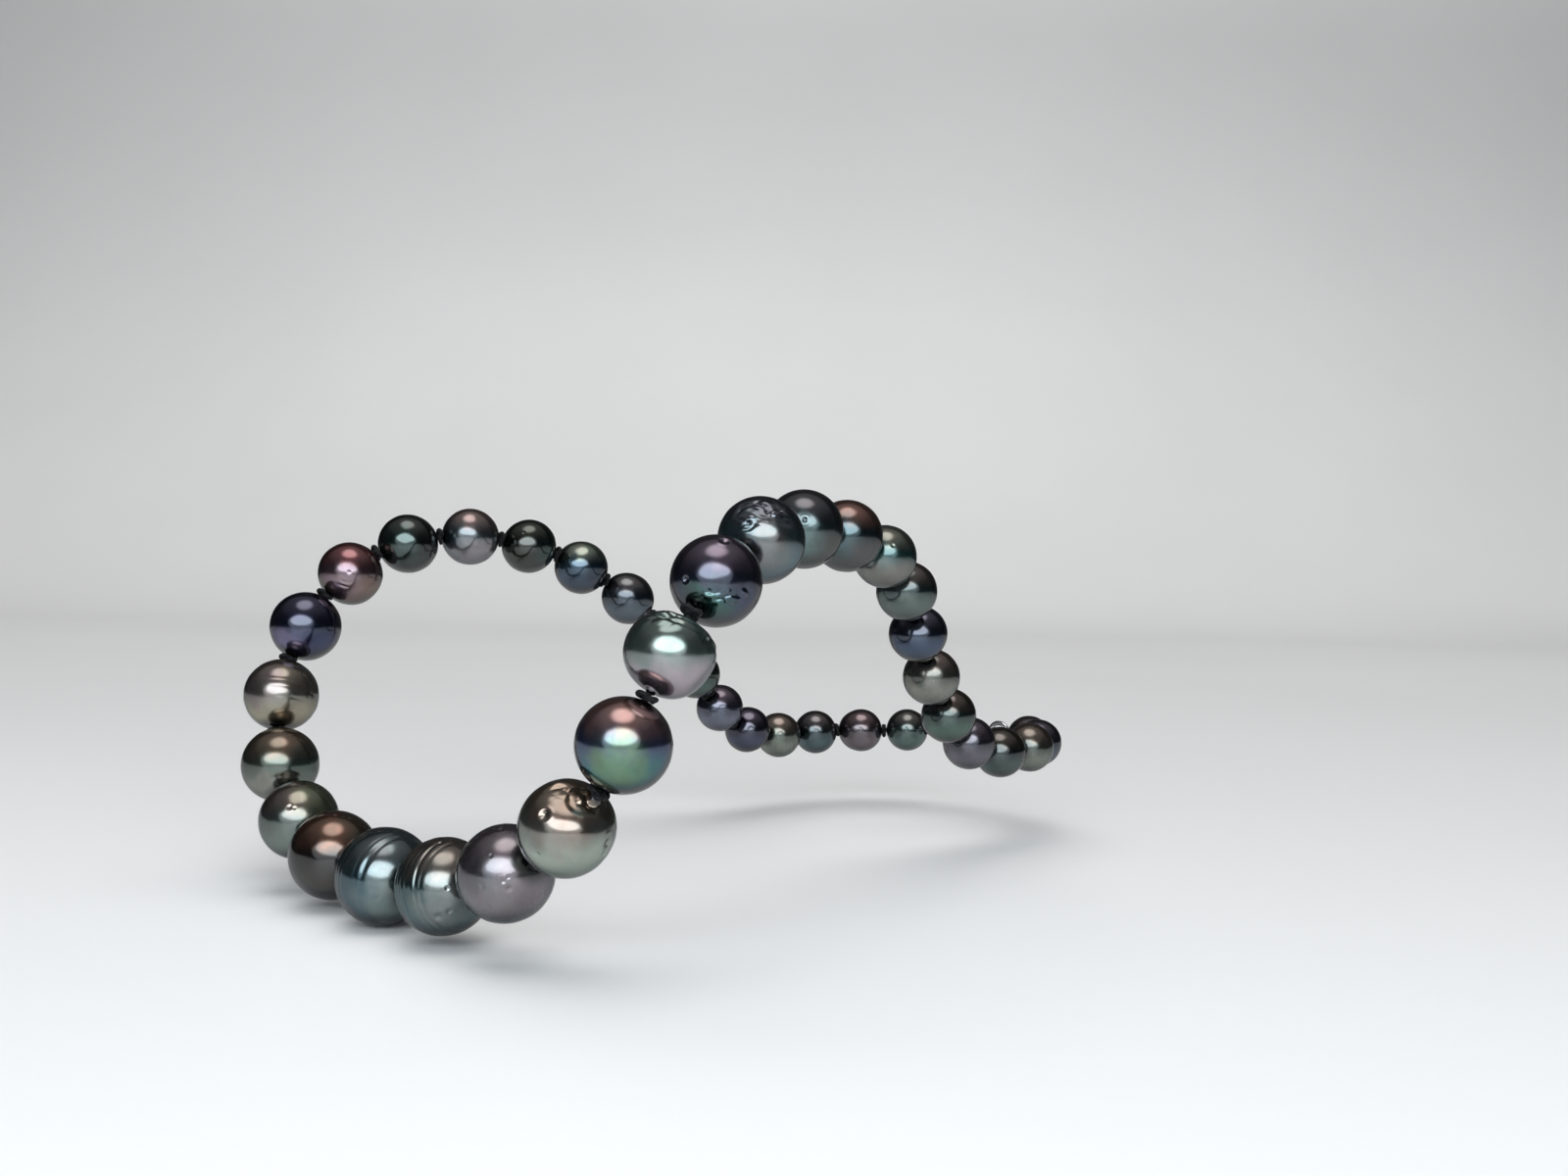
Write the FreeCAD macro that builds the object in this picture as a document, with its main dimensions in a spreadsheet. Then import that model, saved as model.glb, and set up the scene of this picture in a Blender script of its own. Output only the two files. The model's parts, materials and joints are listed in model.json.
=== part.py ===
import FreeCAD, Part
import math
import os

import Sketcher

# A knotted strand of Tahitian pearls with a lobster clasp, lying over the rim of a deep plate.
# Millimetres, +Z up.  +X is to the right and +Y runs away from the front of the loop.
# The origin is where the rim carries the right-hand strand.

V = FreeCAD.Vector

# Driving dimensions, in millimetres and degrees.
SIZES = {
    # silk and drill holes
    "thread_width": 0.70,
    "thread_fit": 0.05,
    "knot_length": 0.90,
    "knot_width": 1.90,
    "knot_thickness": 0.60,
    "flex_gap": 0.50,
    # pearl shapes: length along the drill hole over width
    "oval_stretch": 1.05,
    "button_squash": 0.95,
    "drop_stretch": 1.09,
    "ring_groove_width": 0.44,
    # end loops of the silk and the coil that sheathes them
    "loop_leg": 0.80,
    "loop_radius": 1.60,
    "sheath_wall": 0.22,
    "sheath_fit": 0.05,
    "sheath_angle": 280.0,
    # soldered rings
    "end_ring_radius": 2.25,
    "end_ring_wire": 0.90,
    "jump_ring_radius": 2.05,
    "jump_ring_wire": 0.80,
    "link_gap": 0.08,
    # lobster clasp
    "claw_length": 12.50,
    "claw_width": 6.40,
    "claw_wall": 1.33,
    "claw_thickness": 2.20,
    "claw_roll": 25.0,
    "claw_edge": 0.35,
    "eye_radius": 1.00,
    "eye_wall": 0.90,
    "mouth_length": 6.44,
    "gate_length": 4.90,
    "lever_thickness": 1.10,
    "lever_fit": 0.10,
    "lever_lobe": 0.85,
    "pin_width": 0.80,
    "pin_fit": 0.04,
    "tab_length": 1.00,
    "spring_gauge": 0.18,
    "spring_width": 0.80,
}

# One entry a pearl, from the right end of the clasp round to its left end:
# its width across the drill hole, and its kind.
PEARLS = [
    (8.6, "round"),
    (8.6, "button"),
    (8.7, "round"),
    (8.8, "oval"),
    (8.8, "round"),
    (8.9, "ringed_low"),
    (9.0, "round"),
    (9.0, "button"),
    (9.1, "round"),
    (9.2, "round"),
    (10.0, "round"),
    (10.5, "round"),
    (11.1, "button"),
    (11.1, "round"),
    (10.9, "ringed_collar"),
    (11.2, "round"),
    (11.4, "drop"),
    (12.0, "round"),
    (12.5, "ringed_waist"),
    (13.0, "ringed_shoulder"),
    (12.3, "round"),
    (11.4, "round"),
    (11.3, "round"),
    (11.2, "ringed_low"),
    (10.9, "round"),
    (10.5, "button"),
    (9.8, "round"),
    (9.6, "round"),
    (9.4, "round"),
    (9.4, "round"),
    (9.2, "oval"),
    (9.1, "round"),
    (9.0, "ringed_waist"),
    (9.0, "round"),
    (8.9, "button"),
    (8.8, "round"),
    (8.7, "round"),
    (8.6, "drop"),
    (8.6, "round"),
]

# Each kind of pearl: the sheet size that stretches its far half, the one for its near half
# (None is a plain half), and the latitudes of the rings round it, in degrees from its waist.
KINDS = {
    "round": (None, None, ()),
    "oval": ("oval_stretch", "oval_stretch", ()),
    "button": ("button_squash", "button_squash", ()),
    "drop": (None, "drop_stretch", ()),
    "ringed_low": (None, None, (-24,)),
    "ringed_collar": ("button_squash", "button_squash", (-56, -38)),
    "ringed_waist": (None, None, (-18, 4, 26)),
    "ringed_shoulder": (None, None, (-30, 34)),
}

# The strand's line, chosen by hand: up out of the plate's well on the right, over the rim,
# down the front, along the table, up the left side, over the rim and down into the well.
RIM_LEAVE = V(-5.5, -8.5, -3.0)      # where it leaves the rim on the right
ROUTE = [
    V(46.0, 79.0, -31.0),
    V(38.5, 69.5, -28.5),
    V(31.0, 57.5, -20.0),
    V(24.5, 44.0, -4.5),
    V(21.5, 35.5, 2.5),
    V(10.0, 19.0, 7.5),
    V(-0.5, -0.5, 4.0),
    RIM_LEAVE,
    V(-10.0, -12.5, -12.5),
    V(-15.0, -12.5, -23.0),
    V(-23.0, -7.0, -32.0),
    V(-31.5, 1.0, -37.0),
    V(-51.5, 19.5, -39.0),
    V(-67.5, 38.0, -33.0),
    V(-71.5, 45.5, -24.0),
    V(-72.0, 51.0, -13.5),
    V(-68.0, 56.0, -3.5),
    V(-61.0, 61.0, 3.5),
    V(-52.5, 66.0, 6.5),
    V(-34.5, 76.0, 4.0),
    V(-26.5, 81.0, -0.5),
    V(-14.0, 88.0, -12.5),
    V(-5.5, 99.0, -26.0),
    V(1.0, 107.0, -30.5),
    V(10.0, 115.0, -31.0),
]

# Knots on the right and on the left, counted from the right end of the clasp (0) to its left
# end (number of pearls).
PEARL_COUNT = len(PEARLS)
RIM_RIGHT, RIM_LEFT = 14, 25         # the last that the rim carries at the front
LOW_RIGHT, LOW_LEFT = 17, 22         # where the hanging strand turns in along the table
WELL_RIGHT, WELL_LEFT = 9, 30        # where the strand drops into the plate's well
FLOOR_RIGHT, FLOOR_LEFT = 4, 35      # where it reaches the floor of the well
LIFT_RIGHT, LIFT_LEFT = 3, 36        # where the clasp's end of it flexes on the floor

# The silk, cut where the strand flexes: name, first and last knot, and whether the piece
# holds the knot at that end or stops short of its neighbour's.
SILK = [
    ("silk_clasp_right", 0, LIFT_RIGHT, True, False),
    ("silk_well_right", LIFT_RIGHT, WELL_RIGHT, True, False),
    ("silk_rim_right", WELL_RIGHT, RIM_RIGHT, True, True),
    ("silk_front_right", RIM_RIGHT, LOW_RIGHT, False, True),
    ("silk_front_bottom", LOW_RIGHT, LOW_LEFT, False, False),
    ("silk_front_left", LOW_LEFT, RIM_LEFT, True, False),
    ("silk_rim_left", RIM_LEFT, WELL_LEFT, True, True),
    ("silk_well_left", WELL_LEFT, LIFT_LEFT, False, True),
    ("silk_clasp_left", LIFT_LEFT, PEARL_COUNT, False, True),
]

doc = FreeCAD.newDocument("pearl_necklace")


def pearl_name(number):
    return "pearl_%02d" % number


# --- spreadsheet ---------------------------------------------------------------------------

def make_sheet():
    sheet = doc.addObject("Spreadsheet::Sheet", "Sizes")
    rows = list(SIZES.items())
    for number, (width, kind) in enumerate(PEARLS, 1):
        rows.append((pearl_name(number) + "_width", width))
    for row, (alias, value) in enumerate(rows, 1):
        sheet.set("A%d" % row, alias)
        sheet.set("B%d" % row, str(value))
        sheet.setAlias("B%d" % row, alias)
    doc.recompute()
    return sheet


SHEET = make_sheet()


def size(alias):
    return float(SHEET.get(alias))


# --- PartDesign helpers --------------------------------------------------------------------

def new_body(name):
    body = doc.addObject("PartDesign::Body", name)
    body.Label = name
    return body


def origin_plane(body, role):
    for feature in body.Origin.OriginFeatures:
        if feature.Role == role:
            return feature
    raise ValueError("no origin plane " + role)


def new_sketch(body, name, role):
    sketch = body.newObject("Sketcher::SketchObject", name)
    sketch.AttachmentSupport = [(origin_plane(body, role), "")]
    sketch.MapMode = "FlatFace"
    return sketch


def bind(sketch, name, expression, constraint):
    """Add a dimension to a sketch and tie it to the sheet."""
    index = sketch.addConstraint(constraint)
    sketch.renameConstraint(index, name)
    sketch.setExpression("Constraints." + name, expression)


def bind_point(sketch, name, geometry, vertex, across, up):
    """Hold a point of a sketch at (across, up) from its origin."""
    bind(sketch, name + "_x", across[1],
         Sketcher.Constraint("DistanceX", -1, 1, geometry, vertex, across[0]))
    bind(sketch, name + "_y", up[1],
         Sketcher.Constraint("DistanceY", -1, 1, geometry, vertex, up[0]))


def pad(body, name, sketch, expression):
    feature = body.newObject("PartDesign::Pad", name)
    feature.Profile = sketch
    feature.Midplane = True
    feature.setExpression("Length", expression)
    return feature


def pocket(body, name, sketch, expression):
    feature = body.newObject("PartDesign::Pocket", name)
    feature.Profile = sketch
    feature.Midplane = True
    feature.setExpression("Length", expression)
    return feature


# --- the strand's line ---------------------------------------------------------------------

def half_lengths(number):
    """The far and near half of a pearl along its drill hole."""
    width = size(pearl_name(number) + "_width")
    far, near, rings = KINDS[PEARLS[number - 1][1]]
    halves = [width / 2 * (size(stretch) if stretch else 1.0) for stretch in (far, near)]
    return halves[0], halves[1]


def pitch(number):
    """From the knot before a pearl to the knot after it."""
    return sum(half_lengths(number)) + size("knot_length")


def walk(curve, parameter, numbers, direction):
    """Knots stepped along the route from one parameter, a pearl's pitch apart."""
    here = curve.value(parameter)
    knots = []
    step = (curve.LastParameter - curve.FirstParameter) / 4000.0 * direction
    for number in numbers:
        reach = pitch(number)
        near = parameter
        while here.distanceToPoint(curve.value(near + step)) < reach:
            near += step
        far = near + step
        for halving in range(40):
            middle = (near + far) / 2
            if here.distanceToPoint(curve.value(middle)) < reach:
                near = middle
            else:
                far = middle
        parameter = near
        here = curve.value(parameter)
        knots.append(here)
    return knots


def clasp_span():
    """From knot to knot across the closed clasp, along its stations."""
    return clasp_stations()["left_knot"]


def ring_seat(ring, inside):
    """From a ring's centre to the wall it hangs on, where the claw is hollowed to radius inside.

    The ring's bore clears the corners of the claw's flat sides when the claw is rolled."""
    roll = math.radians(size("claw_roll"))
    bore = size(ring + "_radius") - size(ring + "_wire") / 2 - size("link_gap")
    corner = size("claw_thickness") / 2 / math.cos(roll)
    aside = corner * math.sin(roll)
    hollowed = inside - math.sqrt(inside ** 2 - aside ** 2)
    return math.sqrt(bore ** 2 - corner ** 2) - hollowed


def clasp_stations():
    """Distances from the right end knot along the closed clasp."""
    sheath = sheath_outer_radius()
    gap = size("link_gap")
    end_wire = size("end_ring_wire") / 2
    right_loop = size("loop_leg") + size("loop_radius")
    right_bar = right_loop + size("loop_radius")
    end_ring = right_bar - sheath - gap - end_wire + size("end_ring_radius")
    hook_inside = end_ring + ring_seat("end_ring", size("claw_width") / 2 - size("claw_wall"))
    hook_tip = hook_inside - size("claw_wall")
    eye_tip = hook_tip + size("claw_length")
    jump_wire = size("jump_ring_wire") / 2
    jump_ring = eye_tip - size("eye_wall") + ring_seat("jump_ring", size("eye_radius"))
    left_bar = jump_ring + size("jump_ring_radius") - jump_wire - gap - sheath
    left_loop = left_bar + size("loop_radius")
    return {
        "right_loop": right_loop,
        "end_ring": end_ring,
        "eye_tip": eye_tip,
        "jump_ring": jump_ring,
        "left_loop": left_loop,
        "left_knot": left_loop + size("loop_radius") + size("loop_leg"),
    }


def sheath_outer_radius():
    return size("thread_width") / 2 + size("sheath_fit") + size("sheath_wall")


def closing_arc(start, end, lengths, inward):
    """Knots on a level circle from start to end, each length apart, bulging inward.

    The circle's centre is slid along the bulge until the lengths just fit round it."""
    chord = end - start
    half_chord = chord.Length / 2
    along = V(chord).normalize()
    bulge = V(0, 0, 1).cross(along).normalize()
    if bulge.dot(inward) < 0:
        bulge = bulge * -1

    def excess(offset):
        radius = math.hypot(offset, half_chord)
        turned = sum(2 * math.asin(length / 2 / radius) for length in lengths)
        return turned - (2 * math.pi - 2 * math.atan2(half_chord, offset))

    low = math.sqrt(max(0.0, max(lengths) ** 2 / 4 - half_chord ** 2)) + 0.01
    if excess(low) < 0:
        low = -20 * sum(lengths)
    high = 20 * sum(lengths)
    for halving in range(80):
        middle = (low + high) / 2
        if excess(middle) > 0:
            low = middle
        else:
            high = middle
    radius = math.hypot(low, half_chord)
    centre = (start + end) * 0.5 + bulge * low
    angle = math.atan2(-low, -half_chord)
    knots = []
    for length in lengths[:-1]:
        angle -= 2 * math.asin(length / 2 / radius)
        knots.append(centre + along * (radius * math.cos(angle)) + bulge * (radius * math.sin(angle)))
    return knots


def strand_knots():
    """Every knot of the strand, from the clasp's right end to its left end."""
    curve = Part.BSplineCurve()
    curve.interpolate(ROUTE)
    rim = curve.parameter(RIM_LEAVE)
    forward = walk(curve, rim, range(RIM_RIGHT + 1, FLOOR_LEFT + 1), 1)
    backward = walk(curve, rim, range(RIM_RIGHT, FLOOR_RIGHT, -1), -1)
    open_knots = backward[::-1] + [curve.value(rim)] + forward
    first, last = open_knots[0], open_knots[-1]
    right_end = range(FLOOR_RIGHT, 0, -1)
    left_end = range(PEARL_COUNT, FLOOR_LEFT, -1)
    lengths = [pitch(n) for n in right_end] + [clasp_span()] + [pitch(n) for n in left_end]
    closing = closing_arc(first, last, lengths, first - open_knots[1])
    right_knots = closing[:FLOOR_RIGHT][::-1]
    left_knots = closing[FLOOR_RIGHT:][::-1]
    return right_knots + open_knots + left_knots


KNOTS = strand_knots()
CLASP_AXIS = (KNOTS[PEARL_COUNT] - KNOTS[0]).normalize()
CLASP_UP = V(CLASP_AXIS).cross(V(0, 0, 1).cross(CLASP_AXIS)).normalize()


def clasp_place(station, x_axis):
    """A placement on the clasp's axis, lying level with the floor of the well."""
    rotation = FreeCAD.Rotation(x_axis, V(CLASP_UP).cross(x_axis), CLASP_UP, "ZXY")
    return FreeCAD.Placement(KNOTS[0] + CLASP_AXIS * station, rotation)


# --- pearls --------------------------------------------------------------------------------

def pearl_half(sketch, side, radius, stretch_name, half, hole):
    """One half of a pearl's outline, from its waist to its drill hole, as a sketch arc.

    A plain half is round. A long one is round too, set off from the middle by a straight
    belt. A short one is a flatter arc, whose end on the hole sets its height."""
    name = "far" if side > 0 else "near"
    stretch = size(stretch_name) if stretch_name else 1.0
    centre = V(0, side * radius * max(stretch - 1, 0), 0)
    turn = math.acos(hole / radius)
    angles = (0, turn) if side > 0 else (-turn, 0)
    arc = sketch.addGeometry(Part.ArcOfCircle(Part.Circle(centre, V(0, 0, 1), radius), *angles))
    if stretch < 1:
        sketch.addConstraint(Sketcher.Constraint("PointOnObject", arc, 3, -1))
    elif stretch == 1:
        sketch.addConstraint(Sketcher.Constraint("Coincident", arc, 3, -1, 1))
    else:
        ends = (-1, 1, arc, 3) if side > 0 else (arc, 3, -1, 1)
        sketch.addConstraint(Sketcher.Constraint("PointOnObject", arc, 3, -2))
        bind(sketch, name + "_belt", "%s * (Sizes.%s - 1)" % (half, stretch_name),
             Sketcher.Constraint("DistanceY", *ends, radius * (stretch - 1)))
    return arc, stretch


def make_pearl(number):
    """A pearl turned about its drill hole, which runs along its own Z axis."""
    name = pearl_name(number)
    body = new_body(name)
    far_stretch, near_stretch, rings = KINDS[PEARLS[number - 1][1]]
    half = "Sizes.%s_width / 2" % name
    far = half + (" * Sizes." + far_stretch if far_stretch else "")
    near = half + (" * Sizes." + near_stretch if near_stretch else "")
    far_value, near_value = half_lengths(number)
    radius = size(name + "_width") / 2
    bore = size("thread_width") / 2 + size("thread_fit")

    sketch = new_sketch(body, name + "_profile", "XZ_Plane")
    far_arc, far_ratio = pearl_half(sketch, 1, radius, far_stretch, half, bore)
    near_arc, near_ratio = pearl_half(sketch, -1, radius, near_stretch, half, bore)
    wall = sketch.addGeometry(Part.LineSegment(V(bore, -near_value, 0), V(bore, far_value, 0)))
    sketch.addConstraint([
        Sketcher.Constraint("Coincident", far_arc, 2, wall, 2),
        Sketcher.Constraint("Coincident", near_arc, 1, wall, 1),
        Sketcher.Constraint("Vertical", wall),
    ])
    if max(far_ratio, near_ratio) > 1:
        belt = sketch.addGeometry(Part.LineSegment(V(radius, near_value * (1 / near_ratio - 1), 0),
                                                   V(radius, far_value * (1 - 1 / far_ratio), 0)))
        sketch.addConstraint([
            Sketcher.Constraint("Coincident", near_arc, 2, belt, 1),
            Sketcher.Constraint("Coincident", far_arc, 1, belt, 2),
            Sketcher.Constraint("Vertical", belt),
            Sketcher.Constraint("Horizontal", near_arc, 2, near_arc, 3),
            Sketcher.Constraint("Horizontal", far_arc, 1, far_arc, 3),
        ])
    else:
        sketch.addConstraint([
            Sketcher.Constraint("Coincident", far_arc, 1, near_arc, 2),
            Sketcher.Constraint("PointOnObject", far_arc, 1, -1),
        ])
    bind(sketch, "half_width", half, Sketcher.Constraint("DistanceX", -1, 1, far_arc, 1, radius))
    bind(sketch, "bore", "Sizes.thread_width / 2 + Sizes.thread_fit",
         Sketcher.Constraint("DistanceX", -1, 1, wall, 1, bore))
    if far_ratio < 1:
        bind(sketch, "far_half", far, Sketcher.Constraint("DistanceY", -1, 1, wall, 2, far_value))
    if near_ratio < 1:
        bind(sketch, "near_half", near, Sketcher.Constraint("DistanceY", wall, 1, -1, 1, near_value))
    turned = body.newObject("PartDesign::Revolution", name + "_turned")
    turned.Profile = sketch
    turned.ReferenceAxis = (sketch, ["V_Axis"])
    turned.Angle = 360.0

    for order, latitude in enumerate(rings, 1):
        side_value, side = (far_value, far) if latitude > 0 else (near_value, near)
        across = math.cos(math.radians(latitude))
        up = math.sin(math.radians(latitude))
        groove_sketch = new_sketch(body, "%s_ring_%d_profile" % (name, order), "XZ_Plane")
        groove_radius = size("ring_groove_width") / 2
        ring = groove_sketch.addGeometry(
            Part.Circle(V(radius * across, side_value * up, 0), V(0, 0, 1), groove_radius))
        bind_point(groove_sketch, "ring", ring, 3,
                   (radius * across, "%s * %.6f" % (half, across)),
                   (side_value * up, "%s * %.6f" % (side, up)))
        bind(groove_sketch, "groove", "Sizes.ring_groove_width / 2",
             Sketcher.Constraint("Radius", ring, groove_radius))
        groove = body.newObject("PartDesign::Groove", "%s_ring_%d" % (name, order))
        groove.Profile = groove_sketch
        groove.ReferenceAxis = (groove_sketch, ["V_Axis"])
        groove.Angle = 360.0

    start, end = KNOTS[number - 1], KNOTS[number]
    axis = (end - start).normalize()
    centre = start + axis * (size("knot_length") / 2 + near_value)
    body.Placement = FreeCAD.Placement(centre, FreeCAD.Rotation(V(0, 0, 1), axis))
    return body


# --- silk ----------------------------------------------------------------------------------

def thread_path(points):
    """Straight runs joined by tangent arcs that turn inside the knots."""
    leg = size("knot_thickness") / 3
    edges = []
    here = points[0]
    for before, corner, after in zip(points, points[1:], points[2:]):
        into = (corner - before).normalize()
        out = (after - corner).normalize()
        turn = into.getAngle(out)
        if turn < math.radians(0.5):
            continue
        arc_start = corner - into * leg
        arc_end = corner + out * leg
        radius = leg / math.tan(turn / 2)
        inward = (out - into).normalize()
        centre = corner + inward * (radius / math.cos(turn / 2))
        edges.append(Part.LineSegment(here, arc_start).toShape())
        edges.append(Part.Arc(arc_start, centre - inward * radius, arc_end).toShape())
        here = arc_end
    edges.append(Part.LineSegment(here, points[-1]).toShape())
    return Part.Wire(edges)


def knot_bead(index):
    """The overhand knot at a gap between pearls, a round-edged disc on the thread."""
    before = KNOTS[index - 1] if index > 0 else KNOTS[PEARL_COUNT]
    after = KNOTS[index + 1] if index < PEARL_COUNT else KNOTS[0]
    into = (KNOTS[index] - before).normalize()
    out = (after - KNOTS[index]).normalize()
    wrap = size("knot_thickness") / 2
    flat = size("knot_width") / 2 - wrap
    outline = [
        Part.LineSegment(V(0, 0, -wrap), V(flat, 0, -wrap)),
        Part.Arc(V(flat, 0, -wrap), V(flat + wrap, 0, 0), V(flat, 0, wrap)),
        Part.LineSegment(V(flat, 0, wrap), V(0, 0, wrap)),
        Part.LineSegment(V(0, 0, wrap), V(0, 0, -wrap)),
    ]
    face = Part.Face(Part.Wire([piece.toShape() for piece in outline]))
    bead = face.revolve(V(0, 0, 0), V(0, 0, 1), 360)
    bead.Placement = FreeCAD.Placement(KNOTS[index], FreeCAD.Rotation(V(0, 0, 1), into + out))
    return bead


def end_loop(index, toward):
    """The silk's end loop beyond an end knot, with its short leg."""
    thread = size("thread_width") / 2
    centre = KNOTS[index] + toward * (size("loop_leg") + size("loop_radius"))
    loop = Part.makeTorus(size("loop_radius"), thread, centre, CLASP_UP)
    leg = Part.makeCylinder(thread, size("loop_leg"), KNOTS[index], toward)
    return [leg, loop]


def make_silk(name, first, last, holds_first, holds_last):
    points = list(KNOTS[first:last + 1])
    if not holds_first:
        points[0] = points[0] + (points[1] - points[0]).normalize() * size("flex_gap")
    if not holds_last:
        points[-1] = points[-1] + (points[-2] - points[-1]).normalize() * size("flex_gap")
    path = thread_path(points)
    thread = size("thread_width") / 2
    start_direction = points[1] - points[0]
    section = Part.Wire(Part.makeCircle(thread, points[0], start_direction))
    tube = path.makePipeShell([section], True, False)
    filled = tube.Volume / (math.pi * thread ** 2 * path.Length)
    print("%s: thread %.1f mm, volume %.4f of its section" % (name, path.Length, filled))
    additions = [knot_bead(k) for k in range(first, last + 1)
                 if first < k < last or (k == first and holds_first) or (k == last and holds_last)]
    if first == 0:
        additions += end_loop(0, CLASP_AXIS)
    if last == PEARL_COUNT:
        additions += end_loop(PEARL_COUNT, CLASP_AXIS * -1)
    feature = doc.addObject("Part::Feature", name)
    feature.Label = name
    feature.Shape = tube.multiFuse(additions)
    return feature


def make_sheath(name, station, toward):
    """The coil that sheathes an end loop, a split tube bent round it."""
    body = new_body(name)
    sketch = new_sketch(body, name + "_profile", "XZ_Plane")
    bore = size("thread_width") / 2 + size("sheath_fit")
    inner = sketch.addGeometry(Part.Circle(V(size("loop_radius"), 0, 0), V(0, 0, 1), bore))
    outer = sketch.addGeometry(
        Part.Circle(V(size("loop_radius"), 0, 0), V(0, 0, 1), sheath_outer_radius()))
    sketch.addConstraint(Sketcher.Constraint("Coincident", inner, 3, outer, 3))
    sketch.addConstraint(Sketcher.Constraint("PointOnObject", inner, 3, -1))
    bind(sketch, "loop", "Sizes.loop_radius",
         Sketcher.Constraint("DistanceX", -1, 1, inner, 3, size("loop_radius")))
    bind(sketch, "bore", "Sizes.thread_width / 2 + Sizes.sheath_fit",
         Sketcher.Constraint("Radius", inner, bore))
    bind(sketch, "outside", "Sizes.thread_width / 2 + Sizes.sheath_fit + Sizes.sheath_wall",
         Sketcher.Constraint("Radius", outer, sheath_outer_radius()))
    bent = body.newObject("PartDesign::Revolution", name + "_bent")
    bent.Profile = sketch
    bent.ReferenceAxis = (sketch, ["V_Axis"])
    bent.Midplane = True
    bent.setExpression("Angle", "Sizes.sheath_angle")
    body.Placement = clasp_place(station, toward)
    return body


# --- clasp ---------------------------------------------------------------------------------

def make_ring(name, station):
    """A soldered ring standing on edge across the clasp."""
    ring = doc.addObject("Part::Torus", name)
    ring.Label = name
    ring.setExpression("Radius1", "Sizes.%s_radius" % name)
    ring.setExpression("Radius2", "Sizes.%s_wire / 2" % name)
    across = V(CLASP_UP).cross(CLASP_AXIS)
    place = FreeCAD.Placement(KNOTS[0] + CLASP_AXIS * station, FreeCAD.Rotation(V(0, 0, 1), across))
    ring.Placement = place
    return ring


def slot_profile(sketch, name, left, right, radius):
    """A round-ended slot along the sketch's X axis; each value is (number, expression)."""
    x_left, x_right, r = left[0], right[0], radius[0]
    left_arc = sketch.addGeometry(Part.ArcOfCircle(
        Part.Circle(V(x_left, 0, 0), V(0, 0, 1), r), math.pi / 2, 3 * math.pi / 2))
    right_arc = sketch.addGeometry(Part.ArcOfCircle(
        Part.Circle(V(x_right, 0, 0), V(0, 0, 1), r), -math.pi / 2, math.pi / 2))
    top = sketch.addGeometry(Part.LineSegment(V(x_right, r, 0), V(x_left, r, 0)))
    bottom = sketch.addGeometry(Part.LineSegment(V(x_left, -r, 0), V(x_right, -r, 0)))
    sketch.addConstraint([
        Sketcher.Constraint("Tangent", left_arc, 1, top, 2),
        Sketcher.Constraint("Tangent", left_arc, 2, bottom, 1),
        Sketcher.Constraint("Tangent", right_arc, 1, bottom, 2),
        Sketcher.Constraint("Tangent", right_arc, 2, top, 1),
        Sketcher.Constraint("PointOnObject", left_arc, 3, -1),
        Sketcher.Constraint("PointOnObject", right_arc, 3, -1),
    ])
    bind(sketch, name + "_left", left[1],
         Sketcher.Constraint("DistanceX", -1, 1, left_arc, 3, x_left))
    bind(sketch, name + "_right", right[1],
         Sketcher.Constraint("DistanceX", -1, 1, right_arc, 3, x_right))
    bind(sketch, name + "_radius", radius[1], Sketcher.Constraint("Radius", left_arc, r))


def circle_profile(sketch, name, across, up, radius):
    circle = sketch.addGeometry(
        Part.Circle(V(across[0], up[0], 0), V(0, 0, 1), radius[0]))
    if up[1] is None:
        sketch.addConstraint(Sketcher.Constraint("PointOnObject", circle, 3, -1))
        bind(sketch, name + "_x", across[1],
             Sketcher.Constraint("DistanceX", -1, 1, circle, 3, across[0]))
    else:
        bind_point(sketch, name, circle, 3, across, up)
    bind(sketch, name + "_radius", radius[1], Sketcher.Constraint("Radius", circle, radius[0]))


def polygon_profile(sketch, name, corners):
    """A closed polygon; each corner is (x expression, y expression) on the sheet."""
    points = [V(evaluate(x), evaluate(y), 0) for x, y in corners]
    count = len(points)
    lines = [sketch.addGeometry(Part.LineSegment(points[i], points[(i + 1) % count]))
             for i in range(count)]
    for i in range(count):
        sketch.addConstraint(Sketcher.Constraint("Coincident", lines[i], 2, lines[(i + 1) % count], 1))
    for i, (x, y) in enumerate(corners):
        bind_point(sketch, "%s_%d" % (name, i), lines[i], 1, (points[i].x, x), (points[i].y, y))


def evaluate(expression):
    """The value of a sheet expression, for a sketch's first guess."""
    SHEET.set("D1", "=" + expression.replace("Sizes.", ""))
    SHEET.recompute()
    return float(SHEET.get("D1"))


# Places in the claw, along X from the eye's outer edge to the hook and up Y to the gate.
HALF = "Sizes.claw_width / 2"
MOUTH_HALF = "(Sizes.claw_width / 2 - Sizes.claw_wall)"
HOOK_CENTRE = "(Sizes.claw_length - Sizes.claw_width / 2)"
EYE_OUTSIDE = "(Sizes.eye_radius + Sizes.eye_wall)"
MOUTH_LEFT = "(Sizes.claw_length - Sizes.claw_wall - Sizes.mouth_length + %s)" % MOUTH_HALF
GATE_TIP = HOOK_CENTRE
PIVOT_X = "(%s - Sizes.gate_length - Sizes.lever_fit)" % GATE_TIP
PIVOT_Y = "(%s - Sizes.lever_fit - Sizes.lever_lobe / 2)" % MOUTH_HALF
SLOT_LEFT = "(%s - Sizes.lever_lobe - Sizes.lever_fit)" % PIVOT_X
SLOT_FLOOR = "(%s - Sizes.lever_lobe - 3 * Sizes.spring_gauge - Sizes.lever_fit)" % PIVOT_Y


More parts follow.
